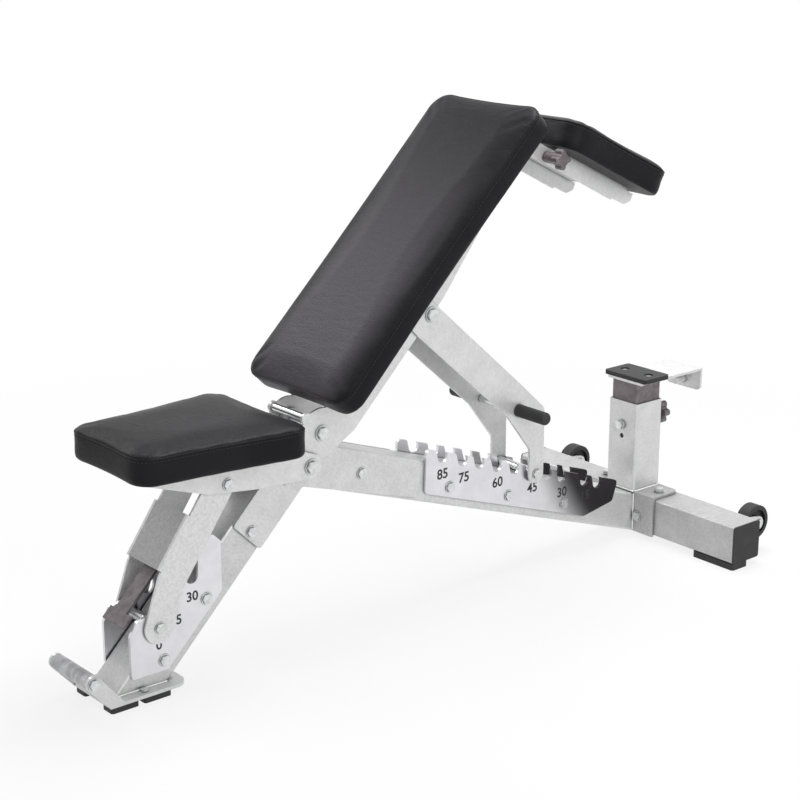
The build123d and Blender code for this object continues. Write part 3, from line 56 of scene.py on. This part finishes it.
class Tone:
    """A shader socket; sums with it add Math nodes."""

    def __init__(self, finish, socket):
        self.finish = finish
        self.socket = socket

    def work(self, operation, first, second=0.0):
        return self.finish.node("ShaderNodeMath", {"operation": operation}, {0: first, 1: second})

    def __add__(self, other):
        return self.work("ADD", self, other)

    __radd__ = __add__

    def __sub__(self, other):
        return self.work("SUBTRACT", self, other)

    def __rsub__(self, other):
        return self.work("SUBTRACT", other, self)

    def __mul__(self, other):
        return self.work("MULTIPLY", self, other)

    __rmul__ = __mul__

    def __truediv__(self, other):
        return self.work("DIVIDE", self, other)

    def __rtruediv__(self, other):
        return self.work("DIVIDE", other, self)

    def __pow__(self, other):
        return self.work("POWER", self, other)

    def rise(self, low, high):
        return self.finish.node(
            "ShaderNodeMapRange",
            {"interpolation_type": "SMOOTHSTEP", "clamp": True},
            {"Value": self, "From Min": low, "From Max": high, "To Min": 0.0, "To Max": 1.0},
        )


class Finish:
    """One material and the few nodes that it is made of."""

    def __init__(self, name, **constants):
        self.material = bpy.data.materials.new(name)
        self.material.use_nodes = True
        self.tree = self.material.node_tree
        self.surface = self.tree.nodes["Principled BSDF"]
        for key, value in constants.items():
            self.socket(key).default_value = value
        self.place = self.node("ShaderNodeTexCoord", {}, {}, "Object")

    def socket(self, key):
        return self.surface.inputs[key.replace("_", " ").title().replace("Ior", "IOR")]

    def node(self, kind, settings, sockets, output=0):
        made = self.tree.nodes.new(kind)
        for key, value in settings.items():
            setattr(made, key, value)
        for key, value in sockets.items():
            self.join(made.inputs[key], value)
        return Tone(self, made.outputs[output])

    def join(self, socket, value):
        if isinstance(value, Tone):
            self.tree.links.new(value.socket, socket)
        else:
            socket.default_value = value

    def give(self, **sockets):
        for key, value in sockets.items():
            self.join(self.socket(key), value)

    def xyz(self):
        parts = self.node("ShaderNodeSeparateXYZ", {}, {"Vector": self.place}).socket.node.outputs
        return [Tone(self, part) for part in parts]

    def clouds(self, scale, detail=3.0, roughness=0.55, place=None):
        return self.node(
            "ShaderNodeTexNoise",
            {"noise_dimensions": "3D"},
            {"Vector": place or self.place, "Scale": scale, "Detail": detail, "Roughness": roughness},
        )

    def stretched(self, x, y, z, turn=(0.0, 0.0, 0.0)):
        return self.node(
            "ShaderNodeMapping",
            {"vector_type": "POINT"},
            {"Vector": self.place, "Rotation": turn, "Scale": (x, y, z)},
        )

    def blend(self, mask, first, second):
        return self.node("ShaderNodeMix", {"data_type": "RGBA"}, {0: mask, 6: first, 7: second}, 2)

    # Painted shade: darkens the colour towards near black where other parts come close, in corners,
    # joints and around bolts.
    def painted_corner_shade(self, colour, reach=0.010, deep=0.8):
        open_air = self.node(
            "ShaderNodeAmbientOcclusion", {"samples": 8, "only_local": False}, {"Distance": reach}, "AO"
        )
        closed = (1 - open_air).rise(0.12, 0.70)
        corner_shade = (0.055, 0.055, 0.058, 1)
        return self.blend(closed * deep, colour, corner_shade)

    def raised(self, height, strength, distance):
        sockets = {"Strength": strength, "Distance": distance, "Height": height}
        self.give(normal=self.node("ShaderNodeBump", {}, sockets))

    def coat(self, *names):
        for name in names:
            if not node[name].material_slots:
                node[name].data.materials.append(self.material)
            for slot in node[name].material_slots:
                slot.material = self.material


def zinc_coat(name, pale, dull, shine, turn):
    zinc = Finish(name, metallic=0.40)
    cloud = zinc.clouds(26.0, 6.0, 0.68)
    speck = zinc.clouds(210.0, 4.0, 0.7)
    drawn = zinc.clouds(60.0, 2.0, 0.6, zinc.stretched(0.25, 14.0, 14.0, turn))
    mask = cloud.rise(0.34, 0.68) * 0.40 + speck.rise(0.30, 0.70) * 0.60
    # Painted shade in the corners of the zinc, over its clouds and specks.
    colour = zinc.painted_corner_shade(zinc.blend(mask, dull, pale))
    zinc.give(base_color=colour, roughness=shine + 0.14 * drawn - 0.06 * mask)
    zinc.raised(speck + drawn * 0.4, 0.07, 0.0004)
    return zinc


beam_drop = math.radians(18.8)
leg_slope = math.radians(45.0)
tube_zinc = zinc_coat(
    "zinc_tube", (0.77, 0.775, 0.77, 1), (0.59, 0.595, 0.59, 1), 0.34, (0, beam_drop, 0)
)
leg_zinc = zinc_coat(
    "zinc_leg", (0.74, 0.745, 0.74, 1), (0.55, 0.555, 0.55, 1), 0.36, (0, -leg_slope, 0)
)
plate_zinc = zinc_coat(
    "zinc_plate", (0.79, 0.795, 0.79, 1), (0.64, 0.645, 0.64, 1), 0.32, (0, 0, 0)
)
# Painted shade: a darker copy of the zinc for the saddle and the cross tube.
shaded_zinc = zinc_coat("zinc_shaded", (0.58, 0.58, 0.58, 1), (0.42, 0.42, 0.42, 1), 0.38, (0, 0, 0))
tube_zinc.coat("beam", "gussets")
leg_zinc.coat("leg")
plate_zinc.coat("base_plate", "wheel_forks", "post_hook", "post_tube")
shaded_zinc.coat("saddle", "cross_tube")

# Weld beads: a row of overlapping scales laid by hand where the tubes meet their plates.
# They are the same steel, zinc coated over, a little brighter on each crest.


def bead(name, runs, width, body):
    mesh = bmesh.new()
    pitch = width * 0.55
    squash = Matrix.Diagonal((width * 0.45, width * 0.5, width * 0.32, 1.0))
    for start, end, lift in runs:
        start, end, lift = Vector(start), Vector(end), Vector(lift).normalized()
        way = (end - start).normalized()
        across = way.cross(lift)
        turn = Matrix((way, across, lift)).transposed().to_4x4()
        count = max(2, round((end - start).length / pitch))
        for i in range(count + 1):
            spot = Matrix.Translation(start.lerp(end, i / count)) @ turn
            bmesh.ops.create_icosphere(mesh, subdivisions=1, radius=1.0, matrix=spot @ squash)
    for face in mesh.faces:
        face.smooth = True
    data = bpy.data.meshes.new(name)
    mesh.to_mesh(data)
    mesh.free()
    piece = bpy.data.objects.new(name, data)
    bpy.context.scene.collection.objects.link(piece)
    data.materials.append(weld_zinc.material)
    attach(piece, body)


weld_zinc = Finish("zinc_weld", metallic=0.85)
weld_zinc.give(
    base_color=weld_zinc.blend(
        weld_zinc.clouds(160.0), (0.60, 0.61, 0.60, 1), (0.86, 0.87, 0.86, 1)
    ),
    roughness=0.22 + 0.2 * weld_zinc.clouds(300.0),
)
hinge = Vector(pivots["back_tilt"])
hinge_over_knee = Vector((0.048, 0.0, 0.046))
knee = hinge - hinge_over_knee
half_tube = 0.0375


def on_beam(along, across, y):
    c, s = math.cos(beam_drop), math.sin(beam_drop)
    return knee + Vector((along * c + across * s, y, -along * s + across * c))


saddle_low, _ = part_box("saddle")
post_low, post_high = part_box("post_tube")
beam_end = (saddle_low.x - knee.x) / math.cos(beam_drop)
beam_skew = half_tube * math.tan(beam_drop)
low_gap, high_gap = Vector((0, 0, 0.004)), Vector((0, 0, 0.003))
post_gap, post_reach = 0.004, 0.034
weld_runs = []
for side in (-1, 1):
    low = on_beam(beam_end + beam_skew, -half_tube, side * half_tube) + low_gap
    high = on_beam(beam_end - beam_skew, half_tube, side * half_tube) - high_gap
    weld_runs.append((low, high, (-1, side, 0)))
    front = (post_low.x + post_gap, side * half_tube, post_low.z)
    rear = (post_high.x - post_gap, side * half_tube, post_low.z)
    weld_runs.append((front, rear, (0, side, 1)))
for edge, way in ((post_low.x, -1), (post_high.x, 1)):
    near, far = (edge, -post_reach, post_low.z), (edge, post_reach, post_low.z)
    weld_runs.append((near, far, (way, 0, 1)))
bead("frame_welds", weld_runs, 0.0062, "frame")
leg_low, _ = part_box("leg")
foot_gap = 0.005
foot_front = leg_low.x
foot_rear = foot_front + 2 * half_tube / math.sin(leg_slope)
foot_runs = []
for side in (-1, 1):
    front = (foot_front + foot_gap, side * half_tube, leg_low.z)
    rear = (foot_rear - foot_gap, side * half_tube, leg_low.z)
    foot_runs.append((front, rear, (0, side, 1)))
bead("foot_welds", foot_runs, 0.0058, "frame")

# Ladder plates of the back and the seat: laser-cut plate, polished and clear coated.
# The back ladders turn dark towards the rear end: a painted reflection in the polished plate.
ladder_polish = Finish("polished_ladder", metallic=0.9)
ladder_x, _, ladder_z = ladder_polish.xyz()
ladder_x, ladder_z = ladder_x - knee.x, ladder_z - knee.z
along = ladder_x * math.cos(beam_drop) - ladder_z * math.sin(beam_drop)
across = ladder_x * math.sin(beam_drop) + ladder_z * math.cos(beam_drop)
cloud = ladder_polish.clouds(30.0)
# Painted reflection: the plate darkens to near black past about 0.62 m along the beam, on a slanted
# line.
dark_lean, dark_start, dark_end = 1.3, 0.618, 0.758
dark_reflection = (along + across * dark_lean + cloud * 0.010).rise(dark_start, dark_end)
pale = ladder_polish.blend(
    cloud.rise(0.3, 0.7), (0.70, 0.695, 0.725, 1), (0.77, 0.765, 0.795, 1)
)
shade = ladder_polish.blend(dark_reflection, pale, (0.040, 0.037, 0.042, 1))
# Painted shade in the corners of the back ladders.
ladder_polish.give(
    base_color=ladder_polish.painted_corner_shade(shade, 0.006),
    roughness=0.26 + 0.08 * cloud + 0.08 * dark_reflection,
)
ladder_polish.coat("back_ladders")
seat_polish = Finish("polished_seat_ladder", metallic=0.85)
cloud = seat_polish.clouds(30.0)
shade = seat_polish.blend(cloud.rise(0.3, 0.7), (0.72, 0.715, 0.745, 1), (0.79, 0.785, 0.815, 1))
# Painted shade in the corners of the seat ladders.
seat_polish.give(
    base_color=seat_polish.painted_corner_shade(shade, 0.006),
    roughness=0.26 + 0.12 * cloud,
)
seat_polish.coat("seat_ladders")

# Angle numbers: cut into the plates and filled black, upright on both outer faces.
# They give the slope of the back and of the seat at each notch.
ink = Finish("number_black", metallic=0.0)
ink.give(
    base_color=ink.blend(ink.clouds(400.0), (0.010, 0.010, 0.011, 1), (0.030, 0.030, 0.032, 1)),
    roughness=0.5 + 0.2 * ink.clouds(200.0),
)
plate_face = 0.0435
ink_height = 0.0003
bolder = 0.020


def number(whole, text, x, z, size):
    words = bpy.data.curves.new("number_" + text, "FONT")
    words.body = text
    words.size = size
    words.align_x, words.align_y = "CENTER", "CENTER"
    words.extrude = ink_height / 2
    words.offset = size * bolder
    words.resolution_u = 4
    holder = bpy.data.objects.new("number_" + text, words)
    bpy.context.scene.collection.objects.link(holder)
    bpy.context.view_layer.update()
    now = bpy.context.evaluated_depsgraph_get()
    flat = bpy.data.meshes.new_from_object(holder.evaluated_get(now))
    bpy.data.objects.remove(holder)
    stand = Matrix.Rotation(math.pi / 2, 4, "X")
    for side in (-1, 1):
        part = flat.copy()
        turn = stand if side < 0 else Matrix.Rotation(math.pi, 4, "Z") @ stand
        part.transform(Matrix.Translation((x, side * (plate_face + ink_height / 4), z)) @ turn)
        whole.from_mesh(part)
        bpy.data.meshes.remove(part)
    bpy.data.meshes.remove(flat)


def numbers(name, marks, size):
    whole = bmesh.new()
    for text, x, z in marks:
        number(whole, text, x, z, size)
    data = bpy.data.meshes.new(name)
    whole.to_mesh(data)
    whole.free()
    data.materials.clear()
    data.materials.append(ink.material)
    piece = bpy.data.objects.new(name, data)
    bpy.context.scene.collection.objects.link(piece)
    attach(piece, "frame")


back_marks = []
over_beam, over_leg = 0.019, 0.026
places = {"85": 0.338, "75": 0.393, "60": 0.482, "45": 0.578, "30": 0.662, "15": 0.729}
for text, along_beam in places.items():
    spot = on_beam(along_beam, over_beam, 0.0)
    back_marks.append((text, spot.x, spot.z))
numbers("back_numbers", back_marks, 0.0265)
seat_marks = []
c, s = math.cos(leg_slope), math.sin(leg_slope)
for text, along_leg in {"30": 0.284, "15": 0.331, "0": 0.379}.items():
    x = knee.x - along_leg * c - over_leg * s
    z = knee.z - along_leg * s + over_leg * c
    seat_marks.append((text, x, z))
numbers("seat_numbers", seat_marks, 0.0235)

# Bolts, pins and rods: turned or forged steel, plated bright.
# The shine is broken by faint clouds in the plating, a fine bump and painted shade where the bolts meet
# other parts.
bolt_chrome = Finish("bright_bolt", metallic=1.0)
cloud = bolt_chrome.clouds(120.0)
shade = bolt_chrome.blend(cloud.rise(0.35, 0.65), (0.62, 0.625, 0.63, 1), (0.74, 0.745, 0.75, 1))
bolt_chrome.give(
    base_color=bolt_chrome.painted_corner_shade(shade, 0.008, 0.9),
    roughness=0.16 + 0.12 * cloud,
)
bolt_chrome.raised(bolt_chrome.clouds(700.0, 2.0), 0.03, 0.0003)
bolt_chrome.coat(
    "base_screws",
    "foot_handle_bolt",
    "frame_bolts",
    "saddle_bolts",
    "wheel_axles",
    "post_stop_bolt",
    "post_pad_screws",
    "back_hinge_bolt",
    "toe_bar",
    "strut_pivot_bolt",
    "grip_rod",
    "back_lock_rod",
    "seat_pivot_bolt",
    "seat_spacers",
    "seat_strut_shaft",
    "seat_lock_rod",
    "head_pivot_bolts",
)

# Foot handle: a steel roller with a diamond knurl, plated bright.
# The two sets of crossing grooves are pressed round it at a 1.6 mm pitch.
handle_chrome = Finish("knurled_handle", metallic=1.0)
low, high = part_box("foot_handle")
middle = (low + high) / 2
waves_round, groove_wave = 26.0, 0.0032
round_x, round_y, round_z = handle_chrome.xyz()
turned = round_z.work("ARCTAN2", round_z - middle.z, round_x - middle.x) * waves_round
grooves = round_y * (2 * math.pi / groove_wave)
one_way, other_way = turned + grooves, turned - grooves
knurl = one_way.work("SINE", one_way) * other_way.work("SINE", other_way)
crest = knurl.rise(-0.6, 0.7)
streak = handle_chrome.clouds(70.0, 2.0, 0.5, handle_chrome.stretched(0.3, 1.0, 0.3))
bands = 0.45 + 0.55 * streak.rise(0.35, 0.62)
# Painted shade: the grooves of the knurl are painted dark and the crests bright.
handle_chrome.give(
    base_color=handle_chrome.blend(crest * bands, (0.22, 0.22, 0.23, 1), (0.80, 0.80, 0.81, 1)),
    roughness=0.34 - 0.12 * crest,
)
handle_chrome.raised(knurl, 0.7, 0.0006)
handle_chrome.coat("foot_handle")

# Rubber pieces: pads under the foot, end caps, rest on the post, grips and tyres.
# Moulded black, matt, with a fine skin from the mould and a little dust grey.
rubber = Finish("black_rubber", metallic=0.0)
skin = rubber.clouds(900.0, 2.0)
dust = rubber.clouds(24.0, 4.0)
rubber.give(
    base_color=rubber.blend(
        dust.rise(0.42, 0.72), (0.011, 0.011, 0.012, 1), (0.024, 0.024, 0.026, 1)
    ),
    roughness=0.48 + 0.2 * dust,
)
rubber.raised(skin, 0.14, 0.0004)
rubber.coat("base_pads", "end_caps", "post_pad", "strut_grips", "wheel_near", "wheel_far")

# Inner post tube, finger grip of the seat strut and both clamp knobs: bare steel.
# No coat, a warm grey with the mottle of rolled stock and soft drawn lines.
bare = Finish("bare_steel", metallic=0.75)
cloud = bare.clouds(70.0, 5.0, 0.65)
lines = bare.clouds(50.0, 2.0, 0.5, bare.stretched(10.0, 10.0, 0.4))
shade = bare.blend(cloud.rise(0.30, 0.70), (0.150, 0.130, 0.136, 1), (0.225, 0.198, 0.205, 1))
# Painted shade in the corners of the bare steel.
bare.give(
    base_color=bare.painted_corner_shade(shade, 0.008),
    roughness=0.40 + 0.2 * lines,
)
bare.raised(cloud + lines, 0.06, 0.0004)
bare.coat("post_inner", "seat_grip", "head_clamp", "post_knob")

# Moving steel: side plates, straps, struts, rails and arms of the back, seat and head rest.
# Cut from flat bar and zinc coated like the frame. The web of the seat strut is painted darker: painted
# shade from the seat above it.
bar_turn = (0, math.radians(-45), 0)
bar_zinc = zinc_coat("zinc_bar", (0.80, 0.805, 0.80, 1), (0.65, 0.655, 0.65, 1), 0.33, bar_turn)
bar_zinc.coat(
    "back_plates",
    "back_straps",
    "back_strut",
    "seat_rails",
    "seat_straps",
    "head_lugs",
    "head_arms",
    "head_board",
)
strut_zinc = Finish("zinc_seat_strut", metallic=0.40)
_, strut_y, _ = strut_zinc.xyz()
web_half, bar_inside = 0.0420, 0.0442
web_edge = strut_y.work("ABSOLUTE", strut_y).rise(web_half, bar_inside)
speck = strut_zinc.clouds(210.0, 4.0, 0.7).rise(0.30, 0.70)
# Painted shade: the web between the bars is greyer than the bars.
web_shade = strut_zinc.blend(speck, (0.34, 0.34, 0.34, 1), (0.47, 0.47, 0.47, 1))
bar_grey = strut_zinc.blend(speck, (0.65, 0.655, 0.65, 1), (0.80, 0.805, 0.80, 1))
# Painted shade in the corners of the seat strut.
strut_grey = strut_zinc.painted_corner_shade(strut_zinc.blend(web_edge, web_shade, bar_grey))
strut_zinc.give(base_color=strut_grey, roughness=0.32 + 0.10 * speck)
strut_zinc.raised(speck, 0.07, 0.0004)
strut_zinc.coat("seat_strut")

# Cushions: foam on a board under black artificial leather, drawn tight over the edges.
# A top panel and a side band meet in a narrow welt, with one row of stitches under it.
leather = Finish("black_leather", metallic=0.0, specular_ior_level=0.09)
pebble = leather.node(
    "ShaderNodeTexVoronoi",
    {"feature": "SMOOTH_F1", "voronoi_dimensions": "3D"},
    {"Vector": leather.place, "Scale": 620.0, "Smoothness": 0.6},
)
grain = leather.clouds(260.0, 4.0, 0.6)
crease = leather.clouds(90.0, 5.0, 0.62, leather.stretched(1.0, 0.30, 1.0))
worn = leather.clouds(9.0, 3.0)
pad_x, pad_y, pad_z = leather.xyz()
# Painted sheen: the middle of the back cushion, past the seat, is painted paler, fading out towards its
# top and its sides.
past_seat = pad_x.rise(-0.325, -0.295)
off_middle = pad_y.work("ABSOLUTE", pad_y).rise(0.070, 0.135)
painted_sheen = past_seat * (1 - off_middle) * (1 - pad_z.rise(0.52, 0.94))
skin = leather.blend(
    worn.rise(0.35, 0.7), (0.0100, 0.0096, 0.0112, 1), (0.0140, 0.0134, 0.0156, 1)
)
leather.give(
    base_color=leather.blend(painted_sheen * (0.45 + 0.55 * grain), skin, (0.115, 0.108, 0.125, 1)),
    roughness=0.30 + 0.06 * worn + 0.12 * grain,
)
leather.raised(pebble * 0.6 + grain * 0.6 + crease * 1.6, 0.50, 0.0012)


def pad_axes(origin, angle):
    c, s = math.cos(angle), math.sin(angle)
    turn = Matrix(((c, 0, -s), (0, 1, 0), (s, 0, c))).to_4x4()
    return Matrix.Translation(origin) @ turn


def cushion(name, cad_node, axes, body, puff):
    side_gap, top_gap, voxel = 0.0044, 0.0005, 0.0045
    seam_drop, stitch_drop = 0.011, 0.0042
    start = bmesh.new()
    start.from_mesh(node[cad_node].data)
    bmesh.ops.remove_doubles(start, verts=start.verts, dist=1e-5)
    start.transform(axes.inverted())
    size = [[f(v.co[i] for v in start.verts) for f in (min, max)] for i in range(3)]
    middle = Vector([(a + b) / 2 for a, b in size])
    middle.z = size[2][0]
    drawn_in = [1 - gap / (b - a) for gap, (a, b) in zip((side_gap, side_gap, top_gap), size)]
    for v in start.verts:
        v.co = middle + Vector([(v.co[i] - middle[i]) * drawn_in[i] for i in range(3)])
    data = bpy.data.meshes.new(name)
    start.to_mesh(data)
    start.free()
    piece = bpy.data.objects.new(name, data)
    bpy.context.scene.collection.objects.link(piece)
    remesh = piece.modifiers.new("even", "REMESH")
    remesh.mode, remesh.voxel_size = "VOXEL", voxel
    remesh.use_smooth_shade = True
    bpy.context.view_layer.update()
    now = bpy.context.evaluated_depsgraph_get()
    even = bpy.data.meshes.new_from_object(piece.evaluated_get(now))
    piece.modifiers.clear()
    piece.data = even
    base, top = size[2]
    top_seam = top - base - seam_drop
    rest = [v.co.copy() for v in even.vertices]
    glued, seam_reach, seam_half, last_step = 0.004, 0.03, 0.003, 20
    held = piece.vertex_groups.new(name="held")
    for v in even.vertices:
        height = v.co.z - base
        edge = min(
            v.co.x - size[0][0], size[0][1] - v.co.x, v.co.y - size[1][0], size[1][1] - v.co.y
        )
        sewn = edge < seam_reach and abs(height - top_seam) < seam_half
        if height < glued or sewn:
            held.add([v.index], 1.0, "REPLACE")
    cloth = piece.modifiers.new("stuffing", "CLOTH")
    cloth.settings.quality = 6
    cloth.settings.mass = 0.3
    cloth.settings.tension_stiffness = 15.0
    cloth.settings.compression_stiffness = 15.0
    cloth.settings.bending_stiffness = 1.5
    cloth.settings.use_pressure = True
    cloth.settings.uniform_pressure_force = 4.0
    cloth.settings.vertex_group_mass = "held"
    cloth.settings.effector_weights.gravity = 0.0
    cloth.collision_settings.use_collision = False
    cloth.point_cache.frame_start, cloth.point_cache.frame_end = 1, last_step
    for step in range(1, last_step + 1):
        bpy.context.scene.frame_set(step)
    now = bpy.context.evaluated_depsgraph_get()
    swollen = bpy.data.meshes.new_from_object(piece.evaluated_get(now))
    piece.modifiers.clear()
    for v, was in zip(swollen.vertices, rest):
        gone = v.co - was
        if gone.length > puff:
            v.co = was + gone * (puff / gone.length)
    piece.data = swollen
    bpy.context.scene.frame_set(1)
    soften = bmesh.new()
    soften.from_mesh(piece.data)
    over_board, under_top = 0.006, 0.014
    inner = [v for v in soften.verts if v.co.z - base > over_board]
    band = [v for v in soften.verts if v.co.z < top - under_top]
    for part, passes, upright in ((inner, 2, True), (band, 6, False)):
        for _ in range(passes):
            bmesh.ops.smooth_vert(
                soften,
                verts=part,
                factor=0.5,
                use_axis_x=True,
                use_axis_y=True,
                use_axis_z=upright,
            )
    welt(name, soften, base + top_seam, axes, body)
    stitches(name, soften, base + top_seam - stitch_drop, axes, body)
    soften.transform(axes)
    for face in soften.faces:
        face.smooth = True
    shell = bpy.data.meshes.new(name)
    soften.to_mesh(shell)
    soften.free()
    piece.data = shell
    shell.materials.append(leather.material)
    finer = piece.modifiers.new("finer", "SUBSURF")
    finer.levels = finer.render_levels = 1
    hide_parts(cad_node)
    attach(piece, body)


def round_the_pad(shell, height, pitch):
    cut = shell.copy()
    everything = cut.verts[:] + cut.edges[:] + cut.faces[:]
    made = bmesh.ops.bisect_plane(
        cut, geom=everything, dist=1e-6, plane_co=(0, 0, height), plane_no=(0, 0, 1)
    )
    ring = {item for item in made["geom_cut"] if isinstance(item, bmesh.types.BMEdge)}
    edge = min(ring, key=lambda item: item.index)
    here = edge.verts[0]
    spots = []
    while edge:
        ring.discard(edge)
        spots.append((here.co.copy(), here.normal.copy()))
        here = edge.other_vert(here)
        edge = next((item for item in here.link_edges if item in ring), None)
    cut.free()
    spots.append(spots[0])
    steps = [(b[0] - a[0]).length for a, b in zip(spots, spots[1:])]
    count = round(sum(steps) / pitch)
    even = []
    gone, leg = 0.0, 0
    for i in range(count):
        want = sum(steps) * i / count
        while gone + steps[leg] < want:
            gone += steps[leg]
            leg += 1
        part = (want - gone) / max(steps[leg], 1e-9)
        even.append([a.lerp(b, part) for a, b in zip(spots[leg], spots[leg + 1])])
    return even


def welt(name, shell, height, axes, body):
    cord_radius, pitch = 0.0013, 0.005
    line = bpy.data.curves.new("welt", "CURVE")
    line.dimensions = "3D"
    line.bevel_depth, line.bevel_resolution = cord_radius, 2
    spots = round_the_pad(shell, height, pitch)
    run = line.splines.new("POLY")
    run.points.add(len(spots) - 1)
    for point, (spot, _) in zip(run.points, spots):
        point.co = (*(axes @ spot), 1.0)
    run.use_cyclic_u = True
    holder = bpy.data.objects.new("welt", line)
    bpy.context.scene.collection.objects.link(holder)
    bpy.context.view_layer.update()
    now = bpy.context.evaluated_depsgraph_get()
    cord = bpy.data.meshes.new_from_object(holder.evaluated_get(now))
    bpy.data.objects.remove(holder)
    for face in cord.polygons:
        face.use_smooth = True
    cord.materials.clear()
    cord.materials.append(leather.material)
    piece = bpy.data.objects.new(name + "_welt", cord)
    bpy.context.scene.collection.objects.link(piece)
    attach(piece, body)


def stitches(name, shell, height, axes, body):
    pitch, half_length, thread_radius, proud = 0.0062, 0.0021, 0.00055, 0.0003
    slim = Matrix.Diagonal((half_length, thread_radius, thread_radius, 1.0))
    sewing = bmesh.new()
    spots = round_the_pad(shell, height, pitch)
    for (spot, out), (after, _) in zip(spots, spots[1:] + spots[:1]):
        way = (after - spot).normalized()
        rest = out.cross(way).normalized()
        turn = Matrix((way, rest, way.cross(rest))).transposed().to_4x4()
        place = axes @ Matrix.Translation(spot + out * proud) @ turn @ slim
        bmesh.ops.create_icosphere(sewing, subdivisions=1, radius=1.0, matrix=place)
    for face in sewing.faces:
        face.smooth = True
    data = bpy.data.meshes.new(name + "_stitches")
    sewing.to_mesh(data)
    sewing.free()
    data.materials.append(thread.material)
    piece = bpy.data.objects.new(name + "_stitches", data)
    bpy.context.scene.collection.objects.link(piece)
    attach(piece, body)


thread = Finish("black_thread", metallic=0.0)
twist = thread.clouds(1500.0, 2.0)
thread.give(
    base_color=thread.blend(twist, (0.020, 0.020, 0.022, 1), (0.050, 0.050, 0.054, 1)),
    roughness=0.45 + 0.2 * twist,
)
seat_pivot = Vector(pivots["seat_tilt"])
head_pivot = Vector(pivots["head_fold"])
seat_axes = pad_axes(seat_pivot, math.radians(-0.8))
back_axes = pad_axes(hinge, math.radians(45))
head_axes = pad_axes(head_pivot, math.radians(-26))
foam, puff = 0.8, 0.006
cushion("seat_cushion", "seat_pad", seat_axes, "seat", puff)
cushion("back_cushion", "back_pad", back_axes, "backrest", puff)
cushion("head_cushion", "head_pad", head_axes, "headrest", puff)

# Studio: a pale floor that runs out to white, a broad lamp above, a fill from the near side
# and a small one from the far side. The camera stands where the photograph was taken from.
floor_mesh = bmesh.new()
bmesh.ops.create_grid(floor_mesh, x_segments=1, y_segments=1, size=14.0)
floor_data = bpy.data.meshes.new("floor")
floor_mesh.to_mesh(floor_data)
floor_mesh.free()
floor = bpy.data.objects.new("floor", floor_data)
bpy.context.scene.collection.objects.link(floor)
paper = Finish("floor_paper", metallic=0.0, roughness=0.9, base_color=(0.82, 0.82, 0.82, 1))
glow = paper.node("ShaderNodeEmission", {}, {"Color": (1, 1, 1, 1), "Strength": 1.0})
seen = paper.node("ShaderNodeLightPath", {}, {})
straight = seen
for ray in ("Is Glossy Ray", "Is Transmission Ray"):
    straight = straight.work("MAXIMUM", straight, Tone(paper, seen.socket.node.outputs[ray]))
away = paper.node("ShaderNodeVectorMath", {"operation": "LENGTH"}, {0: paper.place}, "Value")
away = away.rise(0.7, 2.0)
mixed = paper.node(
    "ShaderNodeMixShader",
    {},
    {0: straight * (0.82 + 0.18 * away), 1: Tone(paper, paper.surface.outputs[0]), 2: glow},
)
paper.join(paper.tree.nodes["Material Output"].inputs["Surface"], mixed)
floor_data.materials.append(paper.material)

sky = bpy.data.worlds.new("studio")
bpy.context.scene.world = sky
sky.use_nodes = True
sky_nodes = sky.node_tree.nodes
sky_links = sky.node_tree.links
soft = sky_nodes["Background"]
soft.inputs["Color"].default_value = (1, 1, 1, 1)
soft.inputs["Strength"].default_value = 0.34
white = sky_nodes.new("ShaderNodeBackground")
white.inputs["Color"].default_value = (1, 1, 1, 1)
white.inputs["Strength"].default_value = 1.0
rays = sky_nodes.new("ShaderNodeLightPath")
pick = sky_nodes.new("ShaderNodeMath")
pick.operation = "MAXIMUM"
both = sky_nodes.new("ShaderNodeMath")
both.operation = "MAXIMUM"
either = sky_nodes.new("ShaderNodeMixShader")
sky_links.new(rays.outputs["Is Camera Ray"], pick.inputs[0])
sky_links.new(rays.outputs["Is Glossy Ray"], pick.inputs[1])
sky_links.new(pick.outputs[0], both.inputs[0])
sky_links.new(rays.outputs["Is Transmission Ray"], both.inputs[1])
sky_links.new(both.outputs[0], either.inputs["Fac"])
sky_links.new(soft.outputs[0], either.inputs[1])
sky_links.new(white.outputs[0], either.inputs[2])
sky_links.new(either.outputs[0], sky_nodes["World Output"].inputs["Surface"])


def lamp(name, spot, aim, size, power):
    light = bpy.data.lights.new(name, "AREA")
    light.shape, light.size, light.energy = "SQUARE", size, power
    holder = bpy.data.objects.new(name, light)
    holder.location = spot
    holder.rotation_euler = (Vector(aim) - Vector(spot)).to_track_quat("-Z", "Y").to_euler()
    bpy.context.scene.collection.objects.link(holder)


lamp("top_box", (0.7, 0.1, 2.7), (-0.1, 0.0, 0.3), 1.3, 64.0)
lamp("near_box", (-0.7, -3.0, 1.7), (0.0, 0.0, 0.4), 1.6, 34.0)
lamp("far_box", (-0.6, 2.4, 2.3), (-0.2, 0.0, 0.6), 0.8, 16.0)

lens = bpy.data.cameras.new("camera")
lens.sensor_width = 36.0
lens.lens = 82.48
camera = bpy.data.objects.new("camera", lens)
camera.location = (-2.0448, -2.4000, 1.3288)
camera.rotation_euler = (math.radians(90 - 16.71), 0.0, math.radians(-39.948))
bpy.context.scene.collection.objects.link(camera)
bpy.context.scene.camera = camera
bpy.context.scene.view_settings.view_transform = "Standard"
